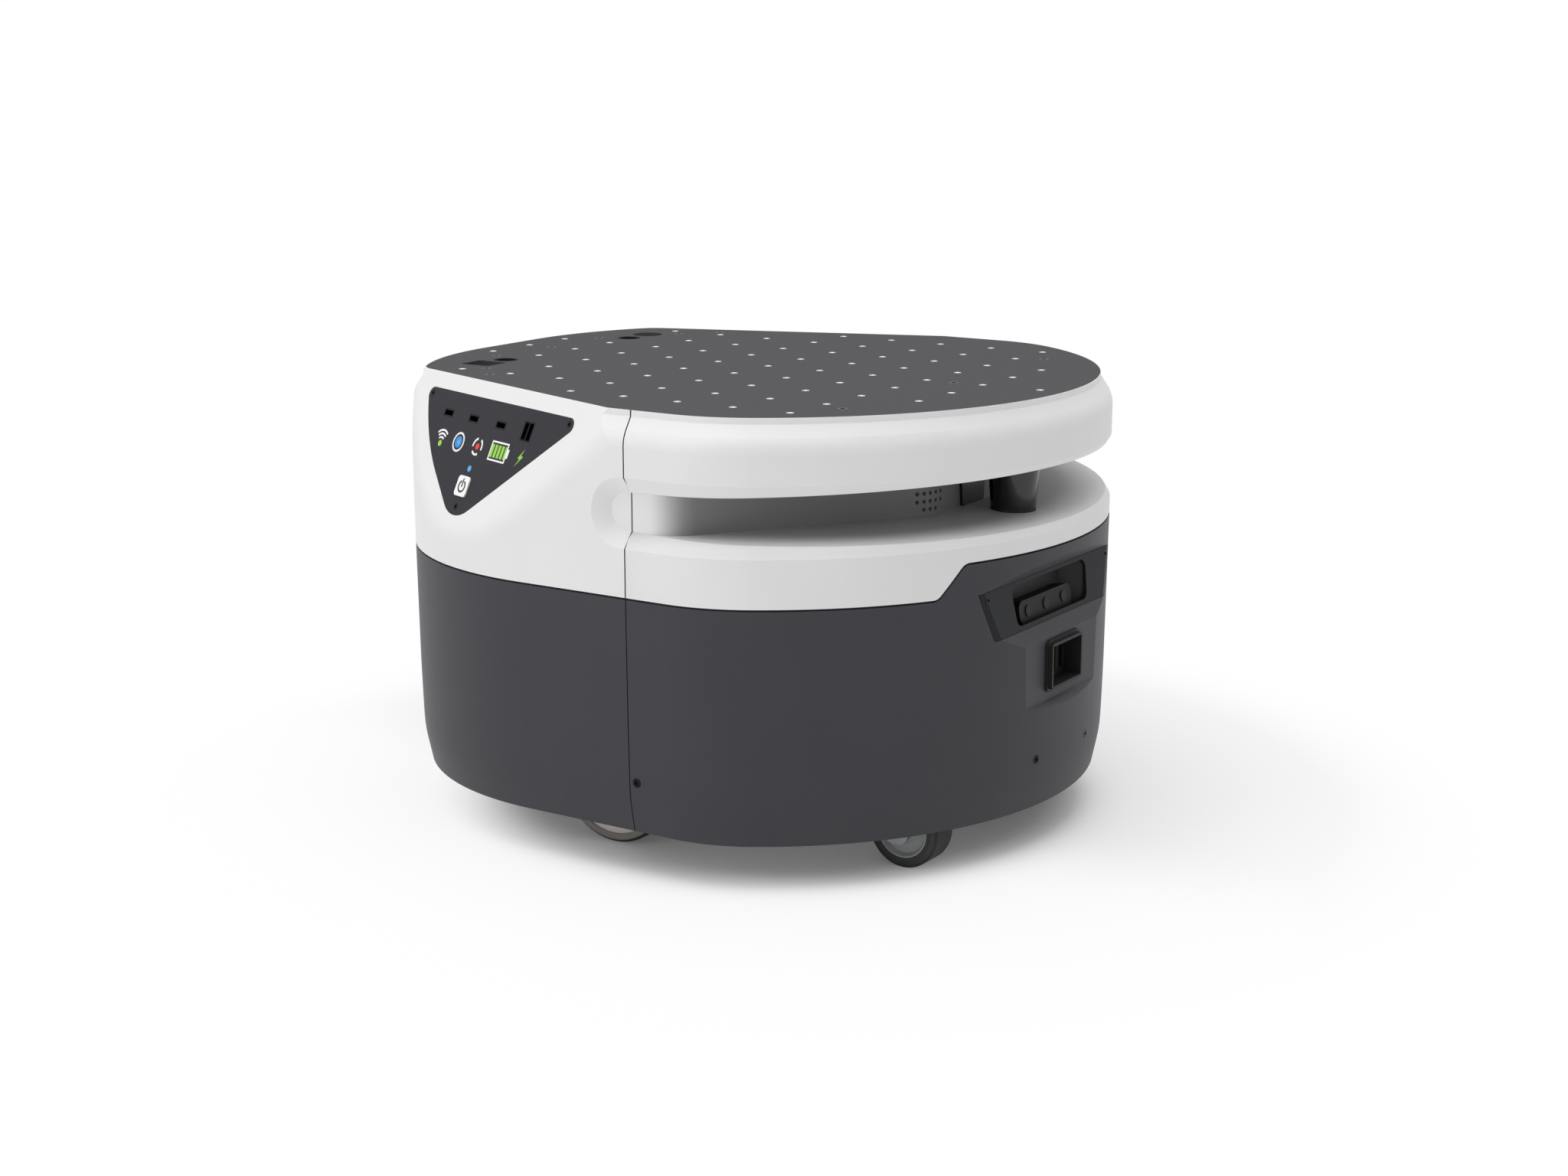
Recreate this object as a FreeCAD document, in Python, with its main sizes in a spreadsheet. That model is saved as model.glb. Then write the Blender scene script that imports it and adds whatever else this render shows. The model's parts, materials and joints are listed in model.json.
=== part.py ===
import FreeCAD, Part
import math
import os
import re
import Sketcher
from FreeCAD import Placement, Rotation, Vector

# A low, round-nosed mobile robot that carries a load on its flat deck.
# Frame: millimetres, +X forwards (nose), +Y to the left, +Z up, origin on the floor under the body.

os.makedirs("parts", exist_ok=True)
doc = FreeCAD.newDocument("mobile_robot")

# ---------------------------------------------------------------- driving dimensions
# One name for each size. Lengths are millimetres, angles are degrees.

SIZES = {
    # plan outline of the deck plate
    "nose_radius": 275.5, "nose_setback": 5, "half_width": 251.5, "shoulder_radius": 110,
    "tail_reach": 270.6, "tail_corner": 215.2,
    # heights above the floor
    "deck_height": 359, "split_height": 219.4, "nose_split": 244.6, "skirt_bottom": 37.4,
    "slot_top": 298.3, "slot_floor": 268.6, "floor_pitch": 1.43, "ceiling_pitch": 2,
    "chassis_bottom": 74,
    # covers
    "flank": 10.8, "cover_wall": 3, "rim_drop": 4.7, "rim_step": 1.1, "bevel_lean": 33.4,
    "bevel_round": 22, "seam_x": 45.5, "seam_gap": 0.9, "split_gap": 1.6, "fit_gap": 0.3,
    "brim_edge": 48.5, "chamfer_in": 6.4, "chamfer_drop": 11, "brim_foot": 3.2,
    "brim_seat": 12, "rear_seat": 28, "boss_radius": 8, "floor_wall": 3.5,
    "tongue_height": 4, "tongue_wall": 1.6, "tongue_root": 10,
    "ledge_edge": 257, "ledge_in": 4, "ledge_rise": 6.9, "ledge_round": 14, "ledge_inner": 0.5,
    # sloping facets on the two rear flanks
    "facet_tilt": 24, "facet_yaw": 19.8, "facet_x": 24, "facet_y": 251.4, "facet_drop": 4,
    "facet_out": 2.3, "facet_wall": 5.5, "crease_round": 30,
    # slot ends and the core wall behind the slot
    "slot_end_x": 42, "slot_end_z": 283.5, "slot_end_inner": 14.9, "slot_end_outer": 26.8,
    "core_half": 252.6, "core_bend_x": 78.7, "core_angle": 59.5, "core_front": 191,
    "core_bend_round": 40, "core_corner_round": 50, "core_wall": 3, "core_flange": 9,
    "grille_pitch": 6.3, "grille_hole": 1.6, "grille_rise": 3.6, "grille_y": 66,
    "speaker_radius": 11.5, "speaker_depth": 10,
    # deck plate
    "deck_thickness": 5, "deck_corner": 30, "deck_bend": 8, "hole_pitch": 50, "thread_bore": 2.1,
    "deck_head": 4.2, "deck_head_depth": 2.6, "screw_shank": 2, "screw_reach": 12,
    "thread_gap": 0.1, "small_head": 3, "small_head_depth": 1.4, "small_shank": 1.3,
    "small_reach": 4, "socket_x": 206, "socket_y": 87, "socket_radius": 10,
    "socket_depth": 14, "socket_wall": 2.4, "hatch_x": 207.5, "hatch_y": 113.8,
    "hatch_length": 28, "hatch_width": 25, "cap_x": 207, "cap_y": 116.5, "cap_radius": 13,
    "post_radius": 8, "post_mid_x": 25, "post_mid_y": 125,
    # skirt
    "skirt_wall": 3, "skirt_top_out": 10.9, "belly_height": 118, "belly_out": 9.6,
    "belly_round": 600, "hem_height": 64, "hem_out": 8.2, "hem_round": 120, "skirt_out": 2.7,
    "step_half_top": 122, "step_half_bottom": 143, "step_round": 8,
    "skirt_head": 3.6, "skirt_head_depth": 1.5, "skirt_shank": 2, "skirt_reach": 9,
    "nose_screw_y": 43, "seam_screw_in": 6.5, "tail_screw_y": 30,
    # nose: camera bezel and charging face
    "bezel_x": 266.9, "bezel_low": 181.6, "bezel_tilt": 9.12, "bezel_rise": 38.5,
    "bezel_wall": 2.5, "bezel_half": 115, "bezel_out": 10, "bezel_screw_y": 99.7,
    "bezel_screw_rise": 32.6, "brow_x": 281.8, "brow_height": 236.3, "charge_face": 274,
    "charge_top": 171, "charge_low": 121, "chin_x": 281.8, "chin_height": 114.5,
    "nose_wall": 3, "nose_block_half": 112, "nose_block_out": 8.1,
    "window_half": 63.7, "window_foot": 59, "window_low": 3.7, "window_high": 35.4,
    "window_round": 7, "pocket_depth": 18, "pocket_wall": 2, "pocket_half": 50,
    "pocket_sill": 1.7, "camera_half": 44, "camera_tall": 18, "camera_setback": 6,
    "camera_round": 7,
    "lens_radius": 4.5, "lens_wall": 0.8, "lens_spread": 30,
    "port_half": 26, "port_low": 130, "port_high": 166.5, "port_reach": 5.5, "port_depth": 12,
    "port_wall": 2.2, "port_round": 3, "flange_rim": 2.4, "flange_wall": 2, "flange_round": 5,
    "blade_count": 4, "blade_pitch": 11, "blade_wall": 2, "blade_height": 20, "blade_reach": 2.5,
    # scanner
    "scanner_x": 229, "scanner_seat": 263, "scanner_foot": 17.8, "scanner_crown": 20.9,
    "scanner_wall": 1.6, "scanner_base": 3, "mirror_radius": 11, "mirror_height": 16,
    "spindle_radius": 3, "spindle_height": 8, "spindle_reach": 6, "sensor_half": 17,
    "sensor_flare": 21, "sensor_depth": 2.5,
    # control panel, on the right facet
    "panel_wall": 2.2, "panel_front": 23, "panel_rear": 254.6, "panel_top": 9.3,
    "panel_corner": 6, "panel_waist": 230.3, "panel_waist_drop": 52.8, "panel_bow": 180,
    "panel_foot": 154.1, "panel_foot_drop": 111.9, "panel_foot_round": 29, "panel_ledge": 7,
    "opening_corner": 10, "opening_bow": 130, "panel_screw_front": 40.5, "panel_screw_rear": 244.9,
    "panel_screw_drop": 14.2, "panel_screw_foot": 154.8, "panel_screw_low": 97.4,
    "port_row": 27, "first_port": 211, "second_port": 172, "third_port": 131,
    "network_port": 92, "slim_port_width": 14.6, "slim_port_height": 6.6,
    "network_width": 14.4, "network_height": 16.1, "socket_shell": 1.2, "socket_inside": 10,
    "light_depth": 3, "light_radius": 2.5, "light_gap": 0.1, "button_gap": 0.25,
    "button_size": 16.6, "button_along": 154.6, "button_drop": 80.7, "button_travel": 1.5,
    "button_proud": 1, "button_depth": 5, "switch_wall": 2, "switch_depth": 9,
    # chassis
    "chassis_wall": 8, "chassis_out": 5.1, "well_length": 116, "well_width": 47,
    # drive wheels
    "drive_x": 20, "drive_radius": 52.5, "drive_hub": 45, "drive_width": 35, "drive_face": 196,
    "drive_shaft": 6, "shaft_seat": 12, "motor_radius": 19, "gearbox_length": 34,
    "motor_length": 50, "encoder_length": 8, "bracket_wall": 6, "bracket_half": 30,
    "bracket_low": 28, "bracket_face": 154,
    # casters
    "caster_radius": 30, "caster_hub": 21.5, "caster_width": 30, "caster_trail": 18,
    "caster_pin": 5, "caster_axle": 4, "caster_leg": 5, "leg_gap": 1.2, "boss_end": 9,
    "crown_radius": 19, "crown_low": 63.5, "crown_gap": 0.3, "caster_plate": 4,
    "plate_half": 23, "plate_round": 5, "caster_nut": 8, "nut_height": 4,
    "front_caster_x": 186, "front_caster_y": 111, "rear_caster_x": 208, "rear_caster_y": 85,
    "running_gap": 0.05,
    # inside the body
    "battery_rear": 148, "battery_length": 180, "battery_width": 150, "battery_height": 92,
    "tray_wall": 2, "tray_height": 26, "computer_rear": 48, "computer_length": 110,
    "computer_width": 150, "computer_height": 48, "fin_height": 8, "fin_wall": 3,
    "fin_pitch": 12, "driver_rear": 213, "driver_length": 55, "driver_width": 110,
    "driver_height": 30, "inner_round": 4,
}

sheet = doc.addObject("Spreadsheet::Sheet", "sizes")
for row, (alias, value) in enumerate(SIZES.items(), 1):
    sheet.set(f"A{row}", alias)
    sheet.set(f"B{row}", str(value))
    sheet.setAlias(f"B{row}", alias)
doc.recompute()


def bound(text):
    """Turn plain size names into references to the sheet."""
    return re.sub(r"[a-z_]+", lambda m: "sizes." + m[0] if m[0] in SIZES else m[0], str(text))


def calc(text):
    """The present value of an expression in size names."""
    return float(sheet.evalExpression(bound(text)))


def tie(thing, prop, text):
    """Bind one property to an expression in size names."""
    thing.setExpression(prop, bound(text))


# ---------------------------------------------------------------- sketch and feature helpers


def new_body(name):
    body = doc.addObject("PartDesign::Body", name)
    body.Label = name
    return body


def new_sketch(body, name, role="XY_Plane", lift=None):
    """A sketch on one of the body's own origin planes, raised along its normal by lift."""
    drawing = body.newObject("Sketcher::SketchObject", name)
    plane = next(item for item in body.Origin.OriginFeatures if item.Role == role)
    drawing.AttachmentSupport = (plane, [""])
    drawing.MapMode = "FlatFace"
    if lift is not None:
        tie(drawing, "AttachmentOffset.Base.z", lift)
    return drawing


class Rules:
    """Sketch constraints gathered first, then added together, with their expressions."""

    def __init__(self, drawing):
        self.drawing = drawing
        self.rules = []
        self.texts = {}

    def add(self, kind, *places):
        self.rules.append(Sketcher.Constraint(kind, *places))

    def pin(self, geometry, point, axis, text):
        """Hold a point at a bound distance from the origin along X or Y."""
        value = calc(text)
        if abs(value) < 1e-9:
            self.add("PointOnObject", geometry, point, -2 if axis == "X" else -1)
            return
        self.texts[len(self.rules)] = text
        self.add("Distance" + axis, -1, 1, geometry, point, value)

    def radius(self, geometry, text):
        self.texts[len(self.rules)] = text
        self.add("Radius", geometry, calc(text))

    def apply(self):
        """Add them all; a sketch that isn't fully held is a mistake."""
        first = self.drawing.ConstraintCount
        self.drawing.addConstraint(self.rules)
        for index, text in self.texts.items():
            tie(self.drawing, f"Constraints[{first + index}]", text)
        if self.drawing.solve() != 0 or not self.drawing.FullyConstrained:
            raise RuntimeError(f"{self.drawing.Name} is not fully constrained")


def outline(drawing, corners, grow="0"):
    """Closed outline through corners (x, y) or (x, y, rounding), grown outwards by grow."""
    points = [Vector(calc(corner[0]), calc(corner[1]), 0) for corner in corners]
    count = len(points)
    out = calc(grow)
    area = sum(points[k - 1].x * points[k].y - points[k].x * points[k - 1].y for k in range(count))
    spin = math.copysign(1, area)
    grown = []
    for k, corner in enumerate(corners):
        along = (points[k] - points[k - 1]).normalize()
        onwards = (points[(k + 1) % count] - points[k]).normalize()
        sides = [Vector(way.y, -way.x, 0) * spin for way in (along, onwards)]
        shift = (sides[0] + sides[1]) / (1 + sides[0].dot(sides[1]))
        bulge = math.copysign(1, along.cross(onwards).z * spin)
        texts = [str(text) for text in corner]
        if out:
            texts[0] = f"{corner[0]} + ({shift.x:.9f}) * ({grow})"
            texts[1] = f"{corner[1]} + ({shift.y:.9f}) * ({grow})"
        if out and len(corner) > 2:
            texts[2] = f"{corner[2]} + ({bulge:.0f}) * ({grow})"
        grown.append(texts)
    points = [Vector(calc(corner[0]), calc(corner[1]), 0) for corner in grown]
    rounds = [calc(corner[2]) if len(corner) > 2 else 0 for corner in grown]
    ends = []
    for k, point in enumerate(points):
        back = (points[k - 1] - point).normalize()
        ahead = (points[(k + 1) % count] - point).normalize()
        run = rounds[k] / math.tan(back.getAngle(ahead) / 2) if rounds[k] else 0
        ends.append((point + back * run, point + ahead * run))
    lines = []
    for k in range(count):
        line = Part.LineSegment(ends[k][1], ends[(k + 1) % count][0])
        lines.append(drawing.addGeometry(line, False))
    rules = Rules(drawing)
    for k, corner in enumerate(grown):
        before, after = lines[k - 1], lines[k]
        if not rounds[k]:
            rules.add("Coincident", before, 2, after, 1)
            rules.pin(after, 1, "X", corner[0])
            rules.pin(after, 1, "Y", corner[1])
            continue
        back = (points[k - 1] - points[k]).normalize()
        ahead = (points[(k + 1) % count] - points[k]).normalize()
        inwards = (back + ahead).normalize()
        centre = points[k] + inwards * (rounds[k] / math.sin(back.getAngle(ahead) / 2))
        circle = Part.Circle(centre, Vector(0, 0, 1), rounds[k])
        circle.AngleXU = math.atan2(inwards.y, inwards.x)
        half = (math.pi - back.getAngle(ahead)) / 2
        shape = Part.ArcOfCircle(circle, math.pi - half, math.pi + half)
        arc = drawing.addGeometry(shape, False)
        start = drawing.Geometry[arc].StartPoint
        first = 1 if (start - ends[k][0]).Length < (start - ends[k][1]).Length else 2
        rules.add("Tangent", before, 2, arc, first)
        rules.add("Tangent", after, 1, arc, 3 - first)
        rules.radius(arc, corner[2])
        tip = drawing.addGeometry(Part.Point(points[k]), True)
        rules.add("PointOnObject", tip, 1, before)
        rules.add("PointOnObject", tip, 1, after)
        rules.pin(tip, 1, "X", corner[0])
        rules.pin(tip, 1, "Y", corner[1])
    rules.apply()


def circles(drawing, places):
    """Circles (x, y, radius), each bound to the sheet."""
    rules = Rules(drawing)
    for x, y, radius in places:
        shape = Part.Circle(Vector(calc(x), calc(y), 0), Vector(0, 0, 1), calc(radius))
        circle = drawing.addGeometry(shape, False)
        rules.radius(circle, radius)
        rules.pin(circle, 3, "X", x)
        rules.pin(circle, 3, "Y", y)
    rules.apply()


def plan(drawing, grow="0"):
    """The robot's plan outline, grown outwards: nose arc, shoulders, flanks, tail corners."""
    out = calc(grow)
    nose, nose_x = calc("nose_radius"), -calc("nose_setback")
    side, shoulder = calc("half_width"), calc("shoulder_radius")
    tail, corner = calc("tail_reach"), calc("tail_corner")
    shoulder_y = side - shoulder
    shoulder_x = nose_x + math.sqrt((nose - shoulder) ** 2 - shoulder_y ** 2)
    corner_x, corner_y = corner - tail, side - corner
    meet = math.atan2(shoulder_y, shoulder_x - nose_x)

    def line(x1, y1, x2, y2):
        return drawing.addGeometry(Part.LineSegment(Vector(x1, y1, 0), Vector(x2, y2, 0)), False)

    def arc(x, y, radius, start, stop):
        ring = Part.Circle(Vector(x, y, 0), Vector(0, 0, 1), radius)
        return drawing.addGeometry(Part.ArcOfCircle(ring, start, stop), False)

    tail_line = line(-tail - out, corner_y, -tail - out, -corner_y)
    right_corner = arc(corner_x, -corner_y, corner + out, math.pi, 1.5 * math.pi)
    right_flank = line(corner_x, -side - out, shoulder_x, -side - out)
    right_shoulder = arc(shoulder_x, -shoulder_y, shoulder + out, -math.pi / 2, -meet)
    nose_arc = arc(nose_x, 0, nose + out, -meet, meet)
    left_shoulder = arc(shoulder_x, shoulder_y, shoulder + out, meet, math.pi / 2)
    left_flank = line(shoulder_x, side + out, corner_x, side + out)
    left_corner = arc(corner_x, corner_y, corner + out, math.pi / 2, math.pi)
    loop = [tail_line, right_corner, right_flank, right_shoulder,
            nose_arc, left_shoulder, left_flank, left_corner]
    rules = Rules(drawing)
    for first, second in zip(loop, loop[1:] + loop[:1]):
        rules.add("Tangent", first, 2, second, 1)
    rules.add("Vertical", tail_line)
    rules.add("Horizontal", right_flank)
    rules.add("Horizontal", left_flank)
    rules.add("PointOnObject", nose_arc, 3, -1)
    rules.pin(nose_arc, 3, "X", "-nose_setback")
    rules.radius(nose_arc, f"nose_radius + {grow}")
    for shoulder_arc in (right_shoulder, left_shoulder):
        rules.radius(shoulder_arc, f"shoulder_radius + {grow}")
    for corner_arc in (right_corner, left_corner):
        rules.radius(corner_arc, f"tail_corner + {grow}")
    rules.pin(tail_line, 1, "X", f"-tail_reach - ({grow})")
    rules.pin(right_flank, 1, "Y", f"-half_width - ({grow})")
    rules.pin(left_flank, 1, "Y", f"half_width + ({grow})")
    rules.apply()


def feature(body, kind, name, drawing):
    step = body.newObject("PartDesign::" + kind, name)
    step.Profile = (drawing, [""])
    drawing.Visibility = False
    return step


def pad(body, drawing, length, both_ways=False, downwards=False):
    step = feature(body, "Pad", drawing.Name + "_pad", drawing)
    tie(step, "Length", length)
    step.SideType = "Symmetric" if both_ways else "One side"
    step.Reversed = downwards
    return step


def pocket(body, drawing, length, both_ways=False, upwards=False):
    """Cut a sketch away, and make sure that it did cut."""
    doc.recompute()
    before = body.Shape.Volume
    step = feature(body, "Pocket", drawing.Name + "_pocket", drawing)
    tie(step, "Length", length)
    step.SideType = "Symmetric" if both_ways else "One side"
    step.Reversed = upwards
    doc.recompute()
    if body.Shape.Volume > before - 0.001:
        raise RuntimeError(f"{step.Name} cuts nothing")
    return step


def sweep(body, name, section, kind="AdditivePipe", grow="0"):
    """Carry a section of (outwards, height) corners once round the plan outline."""
    path = new_sketch(body, name + "_path")
    plan(path)
    drawing = new_sketch(body, name + "_section", "XZ_Plane")
    at_tail = [(f"-tail_reach - ({corner[0]})",) + tuple(corner[1:]) for corner in section]
    outline(drawing, at_tail, grow)
    doc.recompute()
    step = feature(body, kind, name, drawing)
    step.Spine = (path, [""])
    path.Visibility = False
    return step


def tilted_sketch(body, name, base, turn):
    """A sketch on a plane of its own: base and turn are given in the body's frame."""
    drawing = new_sketch(body, name)
    drawing.AttachmentOffset = Placement(Vector(*[calc(text) for text in base]), turn)
    for axis, text in zip("xyz", base):
        tie(drawing, "AttachmentOffset.Base." + axis, text)
    return drawing


def cut_block(body, name, corner, size, turn=Rotation()):
    """Take a block away; corner is in the body's frame and the block may be turned about it."""
    step = body.newObject("PartDesign::SubtractiveBox", name)
    for prop, text in zip(("Length", "Width", "Height"), size):
        tie(step, prop, text)
    return place(step, corner, turn)


def round_part(body, kind, name, base, radius, length, turn=Rotation()):
    """Add or take away a cylinder inside a body."""
    step = body.newObject(f"PartDesign::{kind}Cylinder", name)
    tie(step, "Radius", radius)
    tie(step, "Height", length)
    return place(step, base, turn)


def place(thing, base, turn=Rotation()):
    thing.Placement = Placement(Vector(*[calc(text) for text in base]), turn)
    for axis, text in zip("xyz", base):
        tie(thing, "Placement.Base." + axis, text)
    return thing


def round_edges(body, radius, choose):
    """Fillet the body's edges that the test picks out."""
    doc.recompute()
    base = body.Tip
    names = [f"Edge{i}" for i, edge in enumerate(base.Shape.Edges, 1) if choose(edge)]
    if not names:
        raise RuntimeError(f"no edge to round on {body.Label}")
    step = body.newObject("PartDesign::Fillet", body.Name + "_round")
    step.Base = (base, names)
    tie(step, "Radius", radius)
    return step


def revolve(name, profile):
    """A body of revolution about its own X axis, from corners (along, radius)."""
    body = new_body(name)
    drawing = new_sketch(body, name + "_section")
    outline(drawing, profile)
    step = feature(body, "Revolution", name + "_turn", drawing)
    step.ReferenceAxis = (drawing, ["H_Axis"])
    step.Angle = 360
    return body


# ---------------------------------------------------------------- primitive and boolean helpers


def block(name, corner, size, turn=Rotation()):
    thing = doc.addObject("Part::Box", name)
    for prop, text in zip(("Length", "Width", "Height"), size):
        tie(thing, prop, text)
    return place(thing, corner, turn)


def rod(name, base, radius, length, turn=Rotation()):
    thing = doc.addObject("Part::Cylinder", name)
    tie(thing, "Radius", radius)
    tie(thing, "Height", length)
    return place(thing, base, turn)


def cone(name, base, low_radius, high_radius, length, turn=Rotation()):
    thing = doc.addObject("Part::Cone", name)
    tie(thing, "Radius1", low_radius)
    tie(thing, "Radius2", high_radius)
    tie(thing, "Height", length)
    return place(thing, base, turn)


def minus(name, base, *tools):
    """base without its tools."""
    for k, tool in enumerate(tools):
        step = doc.addObject("Part::Cut", name if k == len(tools) - 1 else f"{name}_less_{k}")
        step.Base, step.Tool = base, tool
        base = step
    base.Label = name
    return base


def joined(name, *pieces):
    step = doc.addObject("Part::MultiFuse", name)
    step.Shapes = list(pieces)
    step.Label = name
    return step


def shared(name, first, second):
    step = doc.addObject("Part::Common", name)
    step.Base, step.Tool = first, second
    step.Label = name
    return step


def group(name, *pieces):
    """Separate like solids that share one node."""
    step = doc.addObject("Part::Compound", name)
    step.Links = list(pieces)
    step.Label = name
    return step


ALONG_Y = Rotation(Vector(1, 0, 0), -90)
AGAINST_Y = Rotation(Vector(1, 0, 0), 90)
DOWN = Rotation(Vector(1, 0, 0), 180)
SIDES = {"right": -1, "left": 1}
nodes = []


def keep(*things):
    """Mark finished sub-parts; each label names its file."""
    nodes.extend(things)


# ---------------------------------------------------------------- the sloping facets


def on_facet(side, along="0", up="0", out="0"):
    """A place on a rear flank's facet: forwards, up the slope and outwards from its datum."""
    x = (f"facet_x - facet_out * sin(facet_yaw) + ({along}) * cos(facet_yaw)"
         f" + ({up}) * sin(facet_yaw) * sin(facet_tilt)"
         f" - ({out}) * sin(facet_yaw) * cos(facet_tilt)")
    y = (f"{side} * (facet_y + facet_out * cos(facet_yaw) + ({along}) * sin(facet_yaw)"
         f" - ({up}) * cos(facet_yaw) * sin(facet_tilt)"
         f" + ({out}) * cos(facet_yaw) * cos(facet_tilt))")
    z = f"deck_height - facet_drop + ({up}) * cos(facet_tilt) + ({out}) * sin(facet_tilt)"
    return x, y, z


def facet_turn(side):
    """Local X forwards along the facet, local Z square out of it."""
    yaw = Rotation(Vector(0, 0, 1), side * calc("facet_yaw"))
    return yaw * Rotation(Vector(1, 0, 0), side * (calc("facet_tilt") - 90))


def height_above_facet(point, side, out):
    """Distance of a point from the facet plane that lies out from the datum plane."""
    datum = Vector(*[calc(text) for text in on_facet(side, out=out)])
    return facet_turn(side).multVec(Vector(0, 0, 1)).dot(point - datum)


def cut_facets(body, out):
    for side in SIDES.values():
        corner = on_facet(side, "-300", f"{side} * 200", out)
        cut_block(body, body.Name + "_facet", corner, ("600", "400", "120"), facet_turn(side))


def is_crease(edge, out):
    """True on the slanting edges of either facet, not on its level ones."""
    ends = [edge.valueAt(edge.FirstParameter), edge.valueAt(edge.LastParameter)]
    level = abs(ends[0].z - ends[1].z) < 1
    near = [all(abs(height_above_facet(end, side, out)) < 0.01 for end in ends)
            for side in SIDES.values()]
    return any(near) and not level


# ---------------------------------------------------------------- deck


def deck_form(name, grow, low, height, rounded=True):
    """A slab with the deck's outline, tapered at the rear, grown outwards by grow."""
    body = new_body(name)
    drawing = new_sketch(body, name + "_plan", lift=low)
    plan(drawing, grow)
    pad(body, drawing, height)
    for side in SIDES.values():
        out = f"({grow}) + {200 if side < 0 else 0}"
        corner = (f"facet_x - 400 * cos(facet_yaw) - ({out}) * sin(facet_yaw)",
                  f"{side} * (facet_y - 400 * sin(facet_yaw) + ({out}) * cos(facet_yaw))",
                  f"{low} - 1")
        turn = Rotation(Vector(0, 0, 1), side * calc("facet_yaw"))
        cut_block(body, name + "_taper", corner, ("700", "200", f"{height} + 2"), turn)
    if rounded:
        for rounding, at_rear in (("deck_corner", True), ("deck_bend", False)):
            round_edges(body, f"{rounding} + ({grow})",
                        lambda edge, rear=at_rear: is_taper_end(edge, grow, rear))
    return body


def is_taper_end(edge, grow, rear):
    """True on the upright edges where the taper ends, at the rear or at the front."""
    start, end = edge.Vertexes[0].Point, edge.Vertexes[-1].Point
    if abs(start.z - end.z) < 1 or (start.x < -calc("tail_reach") / 2) != rear:
        return False
    yaw = math.radians(calc("facet_yaw"))
    out = (abs(start.y) - calc("facet_y")) * math.cos(yaw)
    out -= (start.x - calc("facet_x")) * math.sin(yaw)
    return abs(out - calc(grow)) < 0.01


def hole_rows(body):
    """Tapped holes on a square grid, in rows that fill the deck between its fittings."""
    rows = {4: (-1, 5), 3: (-4, 8), 2: (-3, 8), 1: (-5, 10), 0: (-5, 11)}
    for row, (first, count) in rows.items():
        drawing = new_sketch(body, f"row_{row}", lift="deck_height")
        x = f"{first} * hole_pitch"
        lanes = ["0"] if row == 0 else [f"{side * row} * hole_pitch" for side in (-1, 1)]
        circles(drawing, [(x, y, "thread_bore") for y in lanes])
        hole = pocket(body, drawing, "deck_thickness + 1")
        pattern = body.newObject("PartDesign::LinearPattern", f"row_{row}_pattern")
        pattern.Originals = [hole]
        pattern.Direction = (drawing, ["H_Axis"])
        tie(pattern, "Length", f"{count - 1} * hole_pitch")
        pattern.Occurrences = count
        body.Tip = pattern
        doc.recompute()


# where the deck's screws go: over posts, into the rear cover's seat, over the brim's bosses
FRONT_POST = ("174.4", "0")
POST_SCREWS = [("-228", "-72"), ("-228", "72"), ("-186", "-136"), ("-186", "136"),
               ("-225.5", "0"), FRONT_POST]
SEAT_SCREWS = [("-160", "-163.5"), ("-160", "163.5")]
BOSS_SCREWS = [("171", "-161.5"), ("171", "161.5")]
DECK_SCREWS = POST_SCREWS + SEAT_SCREWS + BOSS_SCREWS


def screw(name, base, turn, head, depth, shank, reach):
    """A socket-head screw; turn points local Z into the work."""
    top = rod(name + "_head", base, head, depth, turn)
    stem = rod(name + "_shank", base, shank, f"{depth} + {reach}", turn)
    key = doc.addObject("Part::Prism", name + "_key")
    key.Polygon = 6
    tie(key, "Circumradius", f"{head} * 0.5")
    tie(key, "Height", f"{depth} * 0.6")
    place(key, base, turn)
    return minus(name, joined(name + "_blank", top, stem), key)


def deck_plate():
    body = deck_form("deck_plate", "0", "deck_height - deck_thickness", "deck_thickness")
    hole_rows(body)
    heads = new_sketch(body, "head_seats", lift="deck_height")
    circles(heads, [(x, y, "deck_head + thread_gap") for x, y in DECK_SCREWS])
    pocket(body, heads, "deck_head_depth")
    shanks = new_sketch(body, "shank_holes", lift="deck_height")
    round_holes = [(x, y, "screw_shank + thread_gap") for x, y in DECK_SCREWS]
    round_holes += [("-socket_x", f"{side} * socket_y", "socket_radius + fit_gap")
                    for side in (-1, 1)]
    round_holes.append(("-cap_x", "cap_y", "cap_radius + fit_gap"))
    circles(shanks, round_holes)
    pocket(body, shanks, "deck_thickness + 1")
    hatch = new_sketch(body, "hatch_opening", lift="deck_height")
    outline(hatch, hatch_corners(), "fit_gap")
    pocket(body, hatch, "deck_thickness + 1")
    return body


def hatch_corners():
    front, rear = "-hatch_x + hatch_length / 2", "-hatch_x - hatch_length / 2"
    left, right = "-hatch_y + hatch_width / 2", "-hatch_y - hatch_width / 2"
    return [(rear, right, "2"), (front, right, "2"), (front, left, "2"), (rear, left, "2")]


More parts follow.
